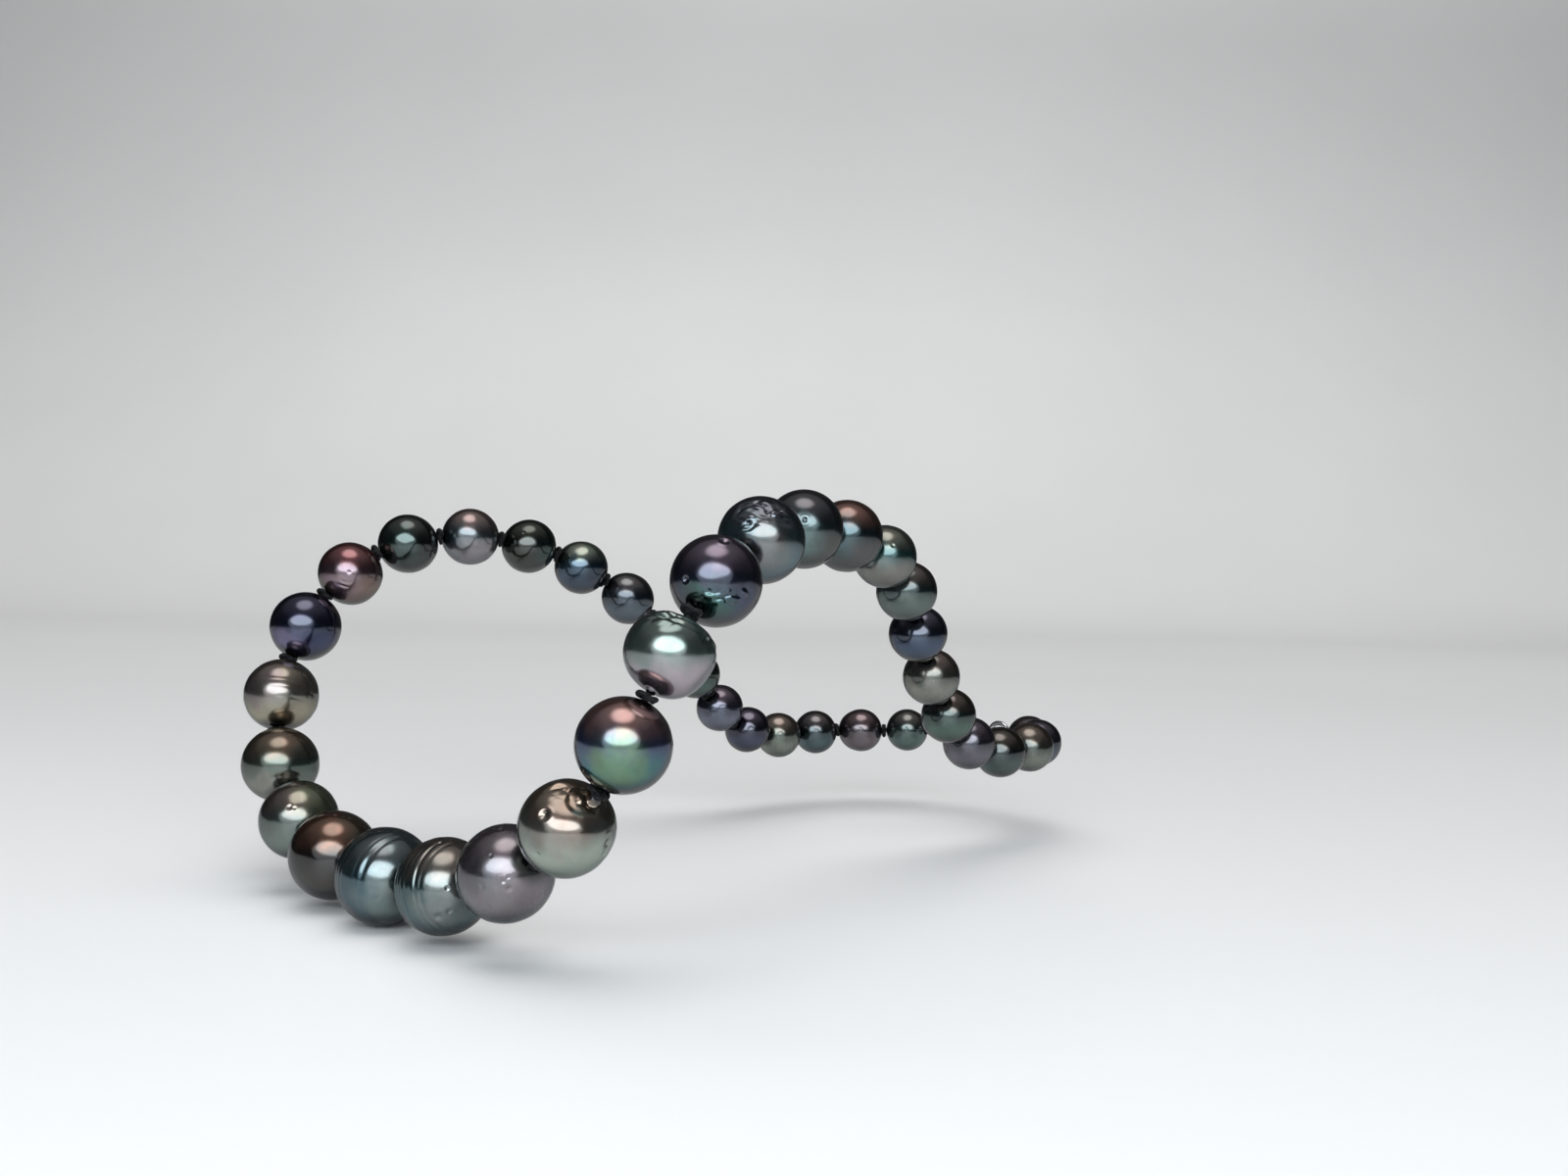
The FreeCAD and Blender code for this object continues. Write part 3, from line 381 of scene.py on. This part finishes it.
# The marks on each pearl.  A place is (right, up) on the side that faces the front, in radii,
# or a latitude about the drill hole in degrees for a ring.
#   ("pit", place, breadth in degrees, depth in mm)     a dimple, or a pimple at a negative depth
#   ("ring", latitude, breadth in degrees, depth)       a groove right round
#   ("scar", place, breadth, depth)                     a patch of wrinkled nacre
#   ("flat", place, breadth, depth)                     a side that grew flatter
#   ("cap", latitude, breadth, depth)                   a smaller end beyond a latitude
MARKS = {
    10: (("pit", (.25, .35), 4, .05),),
    11: (("pit", (-.35, -.5), 3, .04),),
    12: (("pit", (.02, .23), 5, .16), ("pit", (.16, -.45), 4, .10), ("pit", (-.5, .5), 3, .05)),
    13: (("scar", (-.30, .38), 9, .45), ("pit", (-.30, .38), 4, .18), ("scar", (.30, .62), 12, .36),
         ("scar", (.52, .46), 9, .32), ("scar", (-.05, .80), 14, .22), ("scar", (-.45, .68), 10, .18)),
    14: (("pit", (-.65, .02), 5, .26), ("pit", (-.15, -.25), 5, .24), ("scar", (-.12, -.30), 7, .30),
         ("scar", (.08, -.36), 8, .32), ("scar", (.27, -.38), 8, .38), ("scar", (.46, -.36), 8, .42),
         ("scar", (.62, -.28), 8, .42), ("pit", (.16, .86), 7, .26)),
    15: (("cap", -54, 3.5, .30), ("cap", -40, 3.0, .22), ("ring", -41, 3, .16), ("ring", -29, 3, .12),
         ("scar", (-.1, .8), 16, .30), ("scar", (.75, .35), 10, .25), ("flat", (-.5, -.75), 30, .55),
         ("flat", (.75, -.6), 26, .50)),
    16: (("scar", (-.1, .93), 8, .03), ("pit", (.55, .3), 3, .02)),
    17: (("flat", (.46, .62), 34, .85), ("pit", (.30, .56), 12, -.34), ("pit", (.64, .46), 10, -.32),
         ("pit", (.44, .76), 9, -.28), ("pit", (.52, .60), 7, .42), ("scar", (.46, .62), 18, .30),
         ("pit", (-.44, .27), 7, .30), ("pit", (-.56, -.50), 5, .18), ("pit", (.82, -.30), 9, .36),
         ("pit", (.74, -.50), 5, .20), ("flat", (-.1, .5), 22, .30), ("scar", (-.15, .82), 13, .22)),
    18: (("pit", (-.05, -.15), 4, .08), ("pit", (.06, -.30), 5, .11), ("pit", (-.46, -.24), 4, .08),
         ("pit", (-.12, .87), 5, .10), ("pit", (-.75, -.55), 4, .08), ("pit", (-.30, .35), 3, .04),
         ("pit", (-.6, .2), 3, .05), ("pit", (.05, -.08), 3, .05)),
    19: (("ring", -27, 2.6, .10), ("ring", -18, 2.2, .16), ("ring", -9, 2.4, .08),
         ("ring", 1, 2.2, .16), ("ring", 9, 2.6, .10), ("ring", 19, 2.2, .14), ("ring", 29, 3, .08),
         ("pit", (-.12, -.60), 6, .20), ("pit", (.10, -.50), 4, .12), ("pit", (-.1, .86), 4, .12),
         ("pit", (.05, -.05), 3, .08), ("scar", (-.1, -.4), 9, .06)),
    20: (("ring", -31, 4, .14), ("ring", -22, 2.5, .06), ("ring", 2, 2.2, .10), ("ring", 9, 2.2, .08),
         ("ring", 33, 5, .30), ("ring", 43, 3, .10), ("pit", (-.14, -.42), 4, .08),
         ("pit", (.30, -.1), 5, .12), ("pit", (.2, -.2), 3, .08)),
    21: (("pit", (-.15, -.60), 3, .03), ("flat", (-.6, -.1), 28, .10)),
    22: (("pit", (-.22, .33), 5, .08), ("pit", (-.10, .30), 3, .06), ("flat", (.0, -.6), 24, .08)),
    23: (("pit", (-.4, -.6), 4, .06), ("ring", -50, 4, .05)),
    24: (("ring", -24, 3, .03), ("ring", -8, 2.5, .025), ("ring", 6, 2.5, .025), ("ring", 38, 4, .02)),
    25: (("pit", (-.6, -.55), 8, .06), ("pit", (-.1, -.7), 5, .04)),
    26: (("flat", (.62, -.62), 24, .45), ("scar", (-.2, -.3), 9, .12), ("pit", (-.05, .05), 4, .08)),
    27: (("pit", (.3, -.3), 4, .03),),
    28: (("flat", (.4, .6), 22, .08),),
    29: (("pit", (-.2, .5), 4, .04),),
    30: (("flat", (-.2, .7), 18, .08),),
}


def random_waves(seed, points, count, low, high):
    """A smooth random field on points, made of sine waves, of about unit size."""
    rng = np.random.default_rng(seed)
    total = np.zeros(len(points))
    for _ in range(count):
        direction = rng.normal(size=3)
        direction /= np.linalg.norm(direction)
        total += np.sin(points @ (direction * rng.uniform(low, high)) + rng.uniform(0, 2 * math.pi))
    return total / math.sqrt(count / 2)


def facing(place, centre):
    """A direction out of a pearl, from a place (right, up) on the side that faces the front."""
    right_amount, up_amount = place
    toward = (EYE - centre).normalized()
    right = UP.cross(toward).normalized()
    up = toward.cross(right).normalized()
    depth = math.sqrt(max(0.0, 1 - right_amount ** 2 - up_amount ** 2))
    return (right * right_amount + up * up_amount + toward * depth).normalized()


def mark_depth(mark, directions, latitudes, centre, seed):
    """How far a mark lowers the surface, in millimetres.  Rings and caps wander and vary on
    their way round, a pit has a faint raised lip, and a scar's wrinkles run level."""
    kind, place, breadth, depth = mark
    if kind == "ring":
        wander = random_waves(seed, directions, 5, 1.5, 4.0) * breadth * 0.35
        uneven = 0.75 + 0.25 * random_waves(seed + 1, directions, 5, 2.0, 5.0)
        return depth * uneven * np.exp(-((latitudes - place + wander) / breadth) ** 2)
    if kind == "cap":
        beyond = np.sign(place) * latitudes - abs(place)
        beyond += random_waves(seed, directions, 5, 1.5, 4.0) * breadth * 0.5
        return depth / (1 + np.exp(-beyond / breadth * 2))
    out = np.array(facing(place, centre))
    angle = np.degrees(np.arccos(np.clip(directions @ out, -1, 1)))
    if kind == "pit":
        bowl = np.exp(-(angle / breadth * 1.5) ** 2)
        lip = np.exp(-((angle - breadth * 1.25) / breadth * 2.6) ** 2)
        return depth * (bowl - 0.14 * lip)
    if kind == "flat":
        return depth * np.exp(-(angle / breadth) ** 2)
    window = np.exp(-(angle / breadth) ** 2)
    drawn_out = directions * np.array((0.45, 0.45, 1.0))
    ridges = np.abs(random_waves(seed, drawn_out, 7, 16.0, 34.0))
    folds = np.abs(random_waves(seed + 3, drawn_out, 6, 8.0, 17.0))
    return depth * window * (1.15 - 0.75 * ridges - 0.5 * folds)


def pearl_profile(near, far, radius, hole):
    """The turned outline from one drill hole's inside to the other's, as rows of
    (distance from the axis, place along it, share of the marks that it takes)."""
    rows = []
    for side in (-1, 1):
        end = near if side < 0 else far
        limit = math.degrees(math.acos((hole + HOLE_LIP) / radius))
        mouth = end * math.sin(math.radians(limit))
        wall = [(hole + out, mouth - down, 0.0) for out, down in HOLE_WALL]
        quarter = []
        for step in range(1, PROFILE_STEPS + 1):
            latitude = math.radians(limit * (1 - step / PROFILE_STEPS))
            share = min(1.0, step / MARKS_FADE)
            quarter.append((radius * math.cos(latitude), end * math.sin(latitude), share))
        half = [(rho, side * z, share) for rho, z, share in wall + quarter]
        rows = half if side < 0 else rows + half[-2::-1]
    return np.array(rows)


def make_pearl(number):
    """The pearl with its drill hole, growth rings, pits and uneven shape."""
    name = "pearl_%02d" % number
    joint = JOINTS[name + "_turn"]
    centre = Vector(joint["pos_m"])
    axis = Vector(joint["axis"]).normalized()
    solid = frame["nodes"][name].data
    points = np.empty(len(solid.vertices) * 3)
    solid.vertices.foreach_get("co", points)
    points = (points.reshape(-1, 3) - np.array(centre)) / MM
    along = points @ np.array(axis)
    across = np.linalg.norm(points - np.outer(along, np.array(axis)), axis=1)
    radius, near, far, hole = across.max(), -along.min(), along.max(), across.min()

    rows = pearl_profile(near, far, radius, hole)
    turns = TURNS_SEEN if number in SEEN else TURNS_HIDDEN
    side = axis.orthogonal().normalized()
    other = axis.cross(side)
    angles = np.linspace(0, 2 * math.pi, turns, endpoint=False)
    spin = np.outer(np.cos(angles), np.array(side)) + np.outer(np.sin(angles), np.array(other))
    place = rows[:, None, 0, None] * spin[None] + rows[:, None, 1, None] * np.array(axis)[None, None]
    place = place.reshape(-1, 3)
    share = np.repeat(rows[:, 2], turns)
    length = np.linalg.norm(place, axis=1)
    directions = place / length[:, None]
    latitudes = np.degrees(np.arcsin(np.clip(directions @ np.array(axis), -1, 1)))

    uneven = UNEVEN_SMOOTHEST if number in SMOOTHEST else UNEVEN
    lowered = radius * uneven * (1 + 0.55 * random_waves(number * 17, directions, 6, 1.0, 2.6))
    lowered += 0.006 * random_waves(number * 31, directions, 10, 8.0, 18.0) + LOWERED
    for order, mark in enumerate(MARKS.get(number, ())):
        lowered += mark_depth(mark, directions, latitudes, centre, number * 100 + order * 7)
    lowered = np.maximum(lowered, 0.0) * share
    place = place - directions * lowered[:, None]
    world = place * MM + np.array(centre)

    faces = []
    ring = np.arange(turns)
    after = (ring + 1) % turns
    for row in range(len(rows) - 1):
        low, high = row * turns, (row + 1) * turns
        faces.append(np.stack([low + ring, low + after, high + after, high + ring], axis=1))
    mesh = mesh_from(name + "_nacre", world, np.concatenate(faces))
    material = nacre(number, centre, axis, max(radius, near, far) * MM)
    piece = add_piece(name + "_nacre", mesh, material, name)
    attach(piece, BODY_OF[name])
    return {"start": centre - axis * near * MM, "end": centre + axis * far * MM, "axis": axis}


def nacre(number, centre, axis, radius):
    """Layered nacre: body colour and painted reflection in soft zones by height, an overtone patch,
    painted shade round the drill holes and underneath, and a clear skin.
    """
    low, middle, high, patch, gloss = LOOKS[number]
    # How strong the painted shade underneath is: weaker on pearls with a paler underside.
    shade = 0.95 - 0.75 * sum(low) / 3
    low, middle, high = vivid(low), vivid(middle), vivid(high)
    shader = Shader("nacre_%02d" % number)
    local = shader.local(centre, 1.0 / radius)

    # Zones by height: body colour with painted reflection of floor, dim room and ceiling, low to high.
    wander = shader.noise(local, 1.6, 3.0, 0.5, 0.5)
    height = shader.dot(local, (0.0, -0.10, 1.0))
    level = shader.math("MULTIPLY_ADD", wander, 0.9, -0.45)
    level = shader.math("ADD", level, height)
    level = shader.math("MULTIPLY_ADD", level, 0.5, 0.5)
    zones = [(0.08, low), (0.34, low), (0.50, middle), (0.66, middle), (0.82, high), (0.98, high)]
    colour = shader.ramp(level, zones)
    if patch:
        tint, place = patch
        near_patch = shader.dot(local, tuple(facing(place, centre)))
        uneven = shader.math("MULTIPLY_ADD", shader.noise(local, 2.6, 3.0), 0.6, -0.30)
        near_patch = shader.math("ADD", near_patch, uneven)
        amount = shader.spread(near_patch, 0.62, 1.02, 0.0, 0.65)
        colour = shader.mix(amount, colour, vivid(tint))
    cloud = shader.noise(local, 2.4, 3.0, 0.55, 0.6)
    cloud = shader.spread(cloud, 0.35, 0.7, 0.0, 0.40)
    overtone = linear((0.40, 0.60, 0.58)) if number % 2 else linear((0.60, 0.47, 0.52))
    colour = shader.mix(cloud, colour, overtone, "SOFT_LIGHT")

    # Painted shade round the drill holes, where the pearls meet and shade each other, with partly
    # darker nacre there too; and painted shade underneath, for the shadowed floor just below.
    ends = shader.math("ABSOLUTE", shader.dot(local, tuple(axis)))
    ends = shader.spread(ends, 0.82, 0.97, 0.0, 0.92)
    colour = shader.mix(ends, colour, linear((0.07, 0.09, 0.09)))
    under = shader.spread(height, -0.88, -0.32, shade, 0.0)
    colour = shader.mix(under, colour, linear((0.05, 0.09, 0.10)))
    shader.link(colour, shader.main.inputs["Base Color"])

    blur = 0.31 - 0.13 * gloss
    rough = shader.spread(shader.noise(local, 5.0, 4.0), 0.3, 0.7, blur - 0.03, blur + 0.04)
    shader.link(rough, shader.main.inputs["Roughness"])
    shader.set(Metallic=0.94, Specular_Tint=(0.08, 0.12, 0.14, 1.0))
    shader.set(Coat_Weight=0.80, Coat_Roughness=0.13, Coat_IOR=1.9)
    shader.bump(shader.noise(local, 34.0, 3.0, 0.55), 0.00002, 0.08 - 0.04 * gloss)
    return shader.material


# --- silk ----------------------------------------------------------------------------------

def overhand(centre, axis, seed):
    """An overhand knot pulled down between two pearls."""
    rng = np.random.default_rng(seed)
    side = axis.orthogonal().normalized()
    side = Matrix.Rotation(rng.uniform(0, 2 * math.pi), 3, axis) @ side
    other = axis.cross(side)
    t = np.linspace(0, 2 * math.pi, 72, endpoint=False)
    across = (np.sin(t) + 2 * np.sin(2 * t)) * KNOT_SPREAD
    upward = (np.cos(t) - 2 * np.cos(2 * t)) * KNOT_SPREAD
    along = -np.sin(3 * t) * KNOT_RISE
    points = np.outer(across, side) + np.outer(upward, other) + np.outer(along, axis)
    return tube(points * MM + np.array(centre), KNOT_THREAD * MM, 10, closed=True)


def twisted(line):
    """The plies of a thread, laid round each other along a line whose corners are cut."""
    dense = [line[0]]
    for a, b in zip(line, line[1:]):
        dense += [a + (b - a) * f for f in (0.04, 0.3, 0.7, 0.96)]
    dense.append(line[-1])
    parts = []
    length = np.concatenate([[0], np.cumsum(np.linalg.norm(np.diff(dense, axis=0), axis=1))])
    samples = np.arange(0, length[-1], PLY_STEP * MM)
    middle = np.stack([np.interp(samples, length, np.array(dense)[:, i]) for i in range(3)], axis=1)
    tangents = np.gradient(middle, axis=0)
    tangents /= np.linalg.norm(tangents, axis=1)[:, None]
    normal = np.cross(tangents, [0.3, 0.5, 0.8])
    normal /= np.linalg.norm(normal, axis=1)[:, None]
    binormal = np.cross(tangents, normal)
    for ply in range(PLIES):
        angle = samples / (PLY_PITCH * MM) * 2 * math.pi + ply * 2 * math.pi / PLIES
        away = np.cos(angle)[:, None] * normal + np.sin(angle)[:, None] * binormal
        parts.append(tube(middle + PLY_OFFSET * MM * away, PLY_RADIUS * MM, 6))
    return parts


def silk_piece(name, node, parts):
    """Several tubes of silk as one visual piece."""
    points, faces = joined(parts)
    return add_piece(name, mesh_from(name, points, faces), SILK, node)


def part_way(point, target, distance):
    """The point at a distance in millimetres from one point on the way to another."""
    step = target - point
    return point + step / np.linalg.norm(step) * distance * MM


def make_silk(name, first, last, knots, directions):
    """One run of knotted silk.  Where the strand flexes it ends inside the drill hole."""
    line = [np.array(knots[k]) for k in range(first, last + 1)]
    if first > 0:
        line[0] = part_way(line[0], line[1], FLEX_REACH)
    if last < PEARL_COUNT:
        line[-1] = part_way(line[-1], line[-2], FLEX_REACH)
    parts = twisted(line)
    for k in range(first, last + 1):
        if first < k < last or k in (0, PEARL_COUNT):
            parts.append(overhand(knots[k], directions[k], KNOT_SEED + k))
    for index, sign in ((0, 1), (PEARL_COUNT, -1)):
        if index in (first, last):
            parts += end_loop(knots[index], CLASP_AXIS * sign)
    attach(silk_piece(name + "_twist", name, parts), BODY_OF[name])


def make_flex(holder, k, knots, directions):
    """A knot where the strand flexes, with its thread, between the bodies it joins."""
    knot = np.array(knots[k])
    length = FLEX_REACH + FLEX_LAP
    start, end = [part_way(knot, np.array(knots[k + side]), length) for side in (-1, 1)]
    parts = twisted([start, knot, end]) + [overhand(knots[k], directions[k], KNOT_SEED + k)]
    piece = silk_piece("silk_flex_%02d" % k, holder, parts)
    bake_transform(piece)


def loop_centre(knot, out):
    """The middle of the end loop that leaves a knot in the direction out."""
    return knot + out * (LOOP_LEG + LOOP_RADIUS) * MM


def loop_point(knot, out, angle):
    """A point of the end loop, at an angle from the side away from the knot."""
    aside = CLASP_UP.cross(out).normalized()
    around = out * math.cos(angle) + aside * math.sin(angle)
    return loop_centre(knot, out) + around * LOOP_RADIUS * MM


def end_loop(knot, out):
    """The loop at a free end of the silk, and the leg from its knot."""
    ring = [loop_point(knot, out, a) for a in np.linspace(0, 2 * math.pi, 64, endpoint=False)]
    leg = [knot + out * LOOP_LEG * MM * f for f in np.linspace(0, 1, 6)]
    return [tube(ring, THREAD_RADIUS * MM, 12, closed=True), tube(leg, THREAD_RADIUS * MM, 12)]


def make_sheath(name, knot, out):
    """The fine wire coil that sheathes an end loop."""
    half = math.radians(COIL_HALF_ANGLE)
    turns = int(2 * half * LOOP_RADIUS / (2 * COIL_WIRE))
    wire = []
    for step in range(turns * COIL_TURN_STEPS + 1):
        share = step / (turns * COIL_TURN_STEPS)
        middle = loop_point(knot, out, -half + 2 * half * share)
        outward = (middle - loop_centre(knot, out)).normalized()
        turn = 2 * math.pi * turns * share
        wire.append(middle + (outward * math.cos(turn) + CLASP_UP * math.sin(turn)) * COIL_RADIUS * MM)
    points, faces = tube(wire, COIL_WIRE * COIL_SLACK * MM, 8)
    piece = add_piece(name + "_coil", mesh_from(name + "_coil", points, faces), COIL, name)
    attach(piece, BODY_OF[name])


def silk_material():
    """Matt black silk."""
    shader = Shader("silk")
    local = shader.local((0, 0, 0), 1000.0)
    tone = shader.noise(local, 3.0, 3.0)
    black = shader.ramp(tone, [(0.3, (0.002, 0.002, 0.003)), (0.7, (0.008, 0.008, 0.010))])
    shader.link(black, shader.main.inputs["Base Color"])
    shader.set(Roughness=0.62, Specular_IOR_Level=0.25, Sheen_Weight=0.08, Sheen_Roughness=0.4)
    shader.bump(shader.noise(local, 18.0, 3.0, 0.7), 0.00003, 0.5)
    return shader.material


def metal_material(name, colour, rough):
    """Polished metal with faint wear."""
    shader = Shader(name)
    local = shader.local((0, 0, 0), 1000.0)
    worn = shader.spread(shader.noise(local, 1.7, 4.0, 0.6), 0.4, 0.7, 0.0, 0.3)
    duller = tuple(c * 0.82 for c in colour)
    shader.link(shader.mix(worn, colour, duller), shader.main.inputs["Base Color"])
    blur = shader.spread(shader.noise(local, 6.0, 4.0), 0.3, 0.7, rough * 0.7, rough * 1.5)
    shader.link(blur, shader.main.inputs["Roughness"])
    shader.set(Metallic=1.0)
    shader.bump(shader.noise(local, 40.0, 3.0), 0.000004, 0.4)
    return shader.material


# --- clasp ---------------------------------------------------------------------------------

def make_spring():
    """The leaf spring, the CAD part's shape in spring steel."""
    mesh = frame["nodes"]["lever_spring"].data.copy()
    mesh.materials.clear()
    piece = add_piece("lever_spring_leaf", mesh, SPRING_STEEL, "lever_spring")
    along = -CLASP_AXIS
    places = [vertex.co.dot(along) for vertex in mesh.vertices]
    middle = sum((vertex.co for vertex in mesh.vertices), Vector()) / len(mesh.vertices)
    here = middle.dot(along)
    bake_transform(piece)


def paint_metal():
    """White metal on the CAD pieces that are shown as they are."""
    for node in ("claw", "claw_lever", "lever_pin", "end_ring", "jump_ring"):
        solid = frame["nodes"][node]
        solid.data.materials.clear()
        solid.data.materials.append(WHITE_METAL)


# --- studio --------------------------------------------------------------------------------

def make_sweep():
    """A pale floor that turns up into a backdrop far behind.  It gives back less light to the
    pearls than to the camera, and least far behind and in front of the strand."""
    profile = [(y, 0.0) for y in (FLOOR_FRONT, -0.9, -0.3, 0.3, FLOOR_BACK)]
    for angle in np.linspace(0.1, math.pi / 2, 16):
        y = FLOOR_BACK + SWEEP_BEND * math.sin(angle)
        profile.append((y, SWEEP_BEND - SWEEP_BEND * math.cos(angle)))
    profile.append((FLOOR_BACK + SWEEP_BEND, SWEEP_TOP))
    points = [(x, y, z + FLOOR_Z) for x in (-SWEEP_HALF, SWEEP_HALF) for y, z in profile]
    count = len(profile)
    faces = [(i, count + i, count + i + 1, i + 1) for i in range(count - 1)]
    mesh = mesh_from("sweep", points, faces)

    shader = Shader("sweep")
    local = shader.local((0, 0, 0), 1.0)
    tone = shader.noise(local, 4.0, 2.0)
    pale = shader.ramp(tone, [(0.3, (0.80, 0.81, 0.81)), (0.7, (0.84, 0.85, 0.85))])
    behind = shader.spread(shader.dot(local, (0.0, 1.0, 0.0)), 0.18, 0.8, 0.0, 1.0)
    camera_ray = shader.node("ShaderNodeLightPath").outputs["Is Camera Ray"]
    unseen = shader.math("SUBTRACT", 1.0, camera_ray)
    ahead = shader.spread(shader.dot(local, (0.0, -1.0, 0.0)), 0.10, 0.70, 0.0, 0.78)
    dim = shader.math("MAXIMUM", shader.math("ADD", behind, ahead), 0.28)
    dim = shader.math("MULTIPLY", dim, unseen)
    shader.link(shader.mix(dim, pale, (0.05, 0.055, 0.06)), shader.main.inputs["Base Color"])
    shader.set(Roughness=0.45)
    mesh.materials.append(shader.material)
    sweep = bpy.data.objects.new("sweep", mesh)
    bpy.context.scene.collection.objects.link(sweep)


def make_light(name, place, aim, size, power, colour, in_gloss):
    """An oval lamp, which the pearls mirror only if it is in_gloss."""
    data = bpy.data.lights.new(name, "AREA")
    data.shape = "ELLIPSE"
    data.size, data.size_y = size
    data.energy = power
    data.color = colour
    light = bpy.data.objects.new(name, data)
    light.location = place
    light.rotation_euler = (Vector(aim) - Vector(place)).to_track_quat("-Z", "Y").to_euler()
    light.visible_glossy = in_gloss
    light.visible_camera = False
    bpy.context.scene.collection.objects.link(light)


def make_world():
    """A dim room for the pearls to mirror, and a plain pale one behind the camera's view."""
    world = bpy.data.worlds.new("room")
    world.use_nodes = True
    nodes = Nodes(world.node_tree)
    nodes.tree.nodes.clear()
    output = nodes.node("ShaderNodeOutputWorld")
    way = nodes.node("ShaderNodeTexCoord").outputs["Generated"]

    level = nodes.math("MULTIPLY_ADD", nodes.dot(way, (0.0, 0.0, 1.0)), 0.5, 0.5)
    stops = ((0.40, (0.30, 0.31, 0.31)), (0.52, (0.02, 0.025, 0.03)),
             (0.75, (0.05, 0.05, 0.055)), (1.0, (0.30, 0.30, 0.31)))
    room = nodes.node("ShaderNodeBackground")
    nodes.link(nodes.ramp(level, stops, "LINEAR"), room.inputs["Color"])
    overhead = nodes.dot(way, (0.0, -0.17, 0.985))
    ceiling = nodes.node("ShaderNodeBackground")
    ceiling.inputs["Color"].default_value = (1.0, 0.97, 0.97, 1.0)
    nodes.link(nodes.spread(overhead, 0.91, 0.98, 0.0, 2.1), ceiling.inputs["Strength"])
    lit = nodes.node("ShaderNodeAddShader")
    nodes.link(room.outputs[0], lit.inputs[0])
    nodes.link(ceiling.outputs[0], lit.inputs[1])

    plain = nodes.node("ShaderNodeBackground")
    plain.inputs["Color"].default_value = (0.66, 0.67, 0.67, 1.0)
    choose = nodes.node("ShaderNodeMixShader")
    camera_ray = nodes.node("ShaderNodeLightPath").outputs["Is Camera Ray"]
    for source, socket in zip((camera_ray, lit.outputs[0], plain.outputs[0]), choose.inputs):
        nodes.link(source, socket)
    nodes.link(choose.outputs[0], output.inputs["Surface"])
    bpy.context.scene.world = world


def make_studio():
    make_sweep()
    strand = (-0.02, 0.0, -0.02)
    make_light("window", (-0.02, -0.44, 0.20), strand, (0.72, 0.33), 2.25, (0.88, 0.95, 1.0), True)
    make_light("glow", (-0.02, -0.50, 0.16), strand, (1.00, 0.60), 1.2, (0.92, 0.97, 1.0), True)
    make_light("overhead", (0.0, 0.3, 1.5), (0.0, 0.2, 0.0), (2.4, 2.4), 15.0, (1.0, 0.99, 0.97), False)
    make_light("back_wash", (0.0, 0.7, 1.3), (0.0, 1.5, 0.4), (2.4, 0.8), 4.5, (1.0, 1.0, 1.0), False)
    make_world()
    bpy.context.scene.view_settings.view_transform = "Standard"


# --- the necklace --------------------------------------------------------------------------

# The runs of silk by their first and last knots, and the run whose CAD node holds each knot
# that flexes.
SILK_RUNS = (
    ("silk_clasp_right", 0, 3),
    ("silk_well_right", 3, 9),
    ("silk_rim_right", 9, 14),
    ("silk_front_right", 14, 17),
    ("silk_front_bottom", 17, 22),
    ("silk_front_left", 22, 25),
    ("silk_rim_left", 25, 30),
    ("silk_well_left", 30, 36),
    ("silk_clasp_left", 36, 39),
)
FLEX_HOLDERS = ("silk_well_right", "silk_rim_right", "silk_rim_right", "silk_front_right",
                "silk_front_left", "silk_rim_left", "silk_rim_left", "silk_well_left")

make_camera()
make_studio()

CLASP_AXIS = Vector(JOINTS["clasp_roll"]["axis"]).normalized()
CLASP_UP = -Vector(JOINTS["gate_open"]["axis"]).normalized()
SILK = silk_material()
COIL = metal_material("coil", (0.62, 0.62, 0.63), 0.22)
WHITE_METAL = metal_material("white_metal", (0.74, 0.74, 0.75), 0.12)
SPRING_STEEL = metal_material("spring_steel", (0.45, 0.45, 0.46), 0.32)

pearls = [make_pearl(number) for number in range(1, PEARL_COUNT + 1)]
half_gap = KNOT_LENGTH / 2 * MM
knots = [pearls[0]["start"] - pearls[0]["axis"] * half_gap]
knots += [(a["end"] + b["start"]) / 2 for a, b in zip(pearls, pearls[1:])]
knots.append(pearls[-1]["end"] + pearls[-1]["axis"] * half_gap)
along = [pearls[0]["axis"] + CLASP_AXIS * -1]
along += [a["axis"] + b["axis"] for a, b in zip(pearls, pearls[1:])]
along.append(pearls[-1]["axis"] + CLASP_AXIS * -1)
along = [direction.normalized() for direction in along]
for run in SILK_RUNS:
    make_silk(*run, knots, along)
for holder, before, after in zip(FLEX_HOLDERS, SILK_RUNS, SILK_RUNS[1:]):
    make_flex(holder, before[2], knots, along)
make_sheath("silk_sheath_right", knots[0], CLASP_AXIS)
make_sheath("silk_sheath_left", knots[PEARL_COUNT], CLASP_AXIS * -1)

paint_metal()
make_spring()
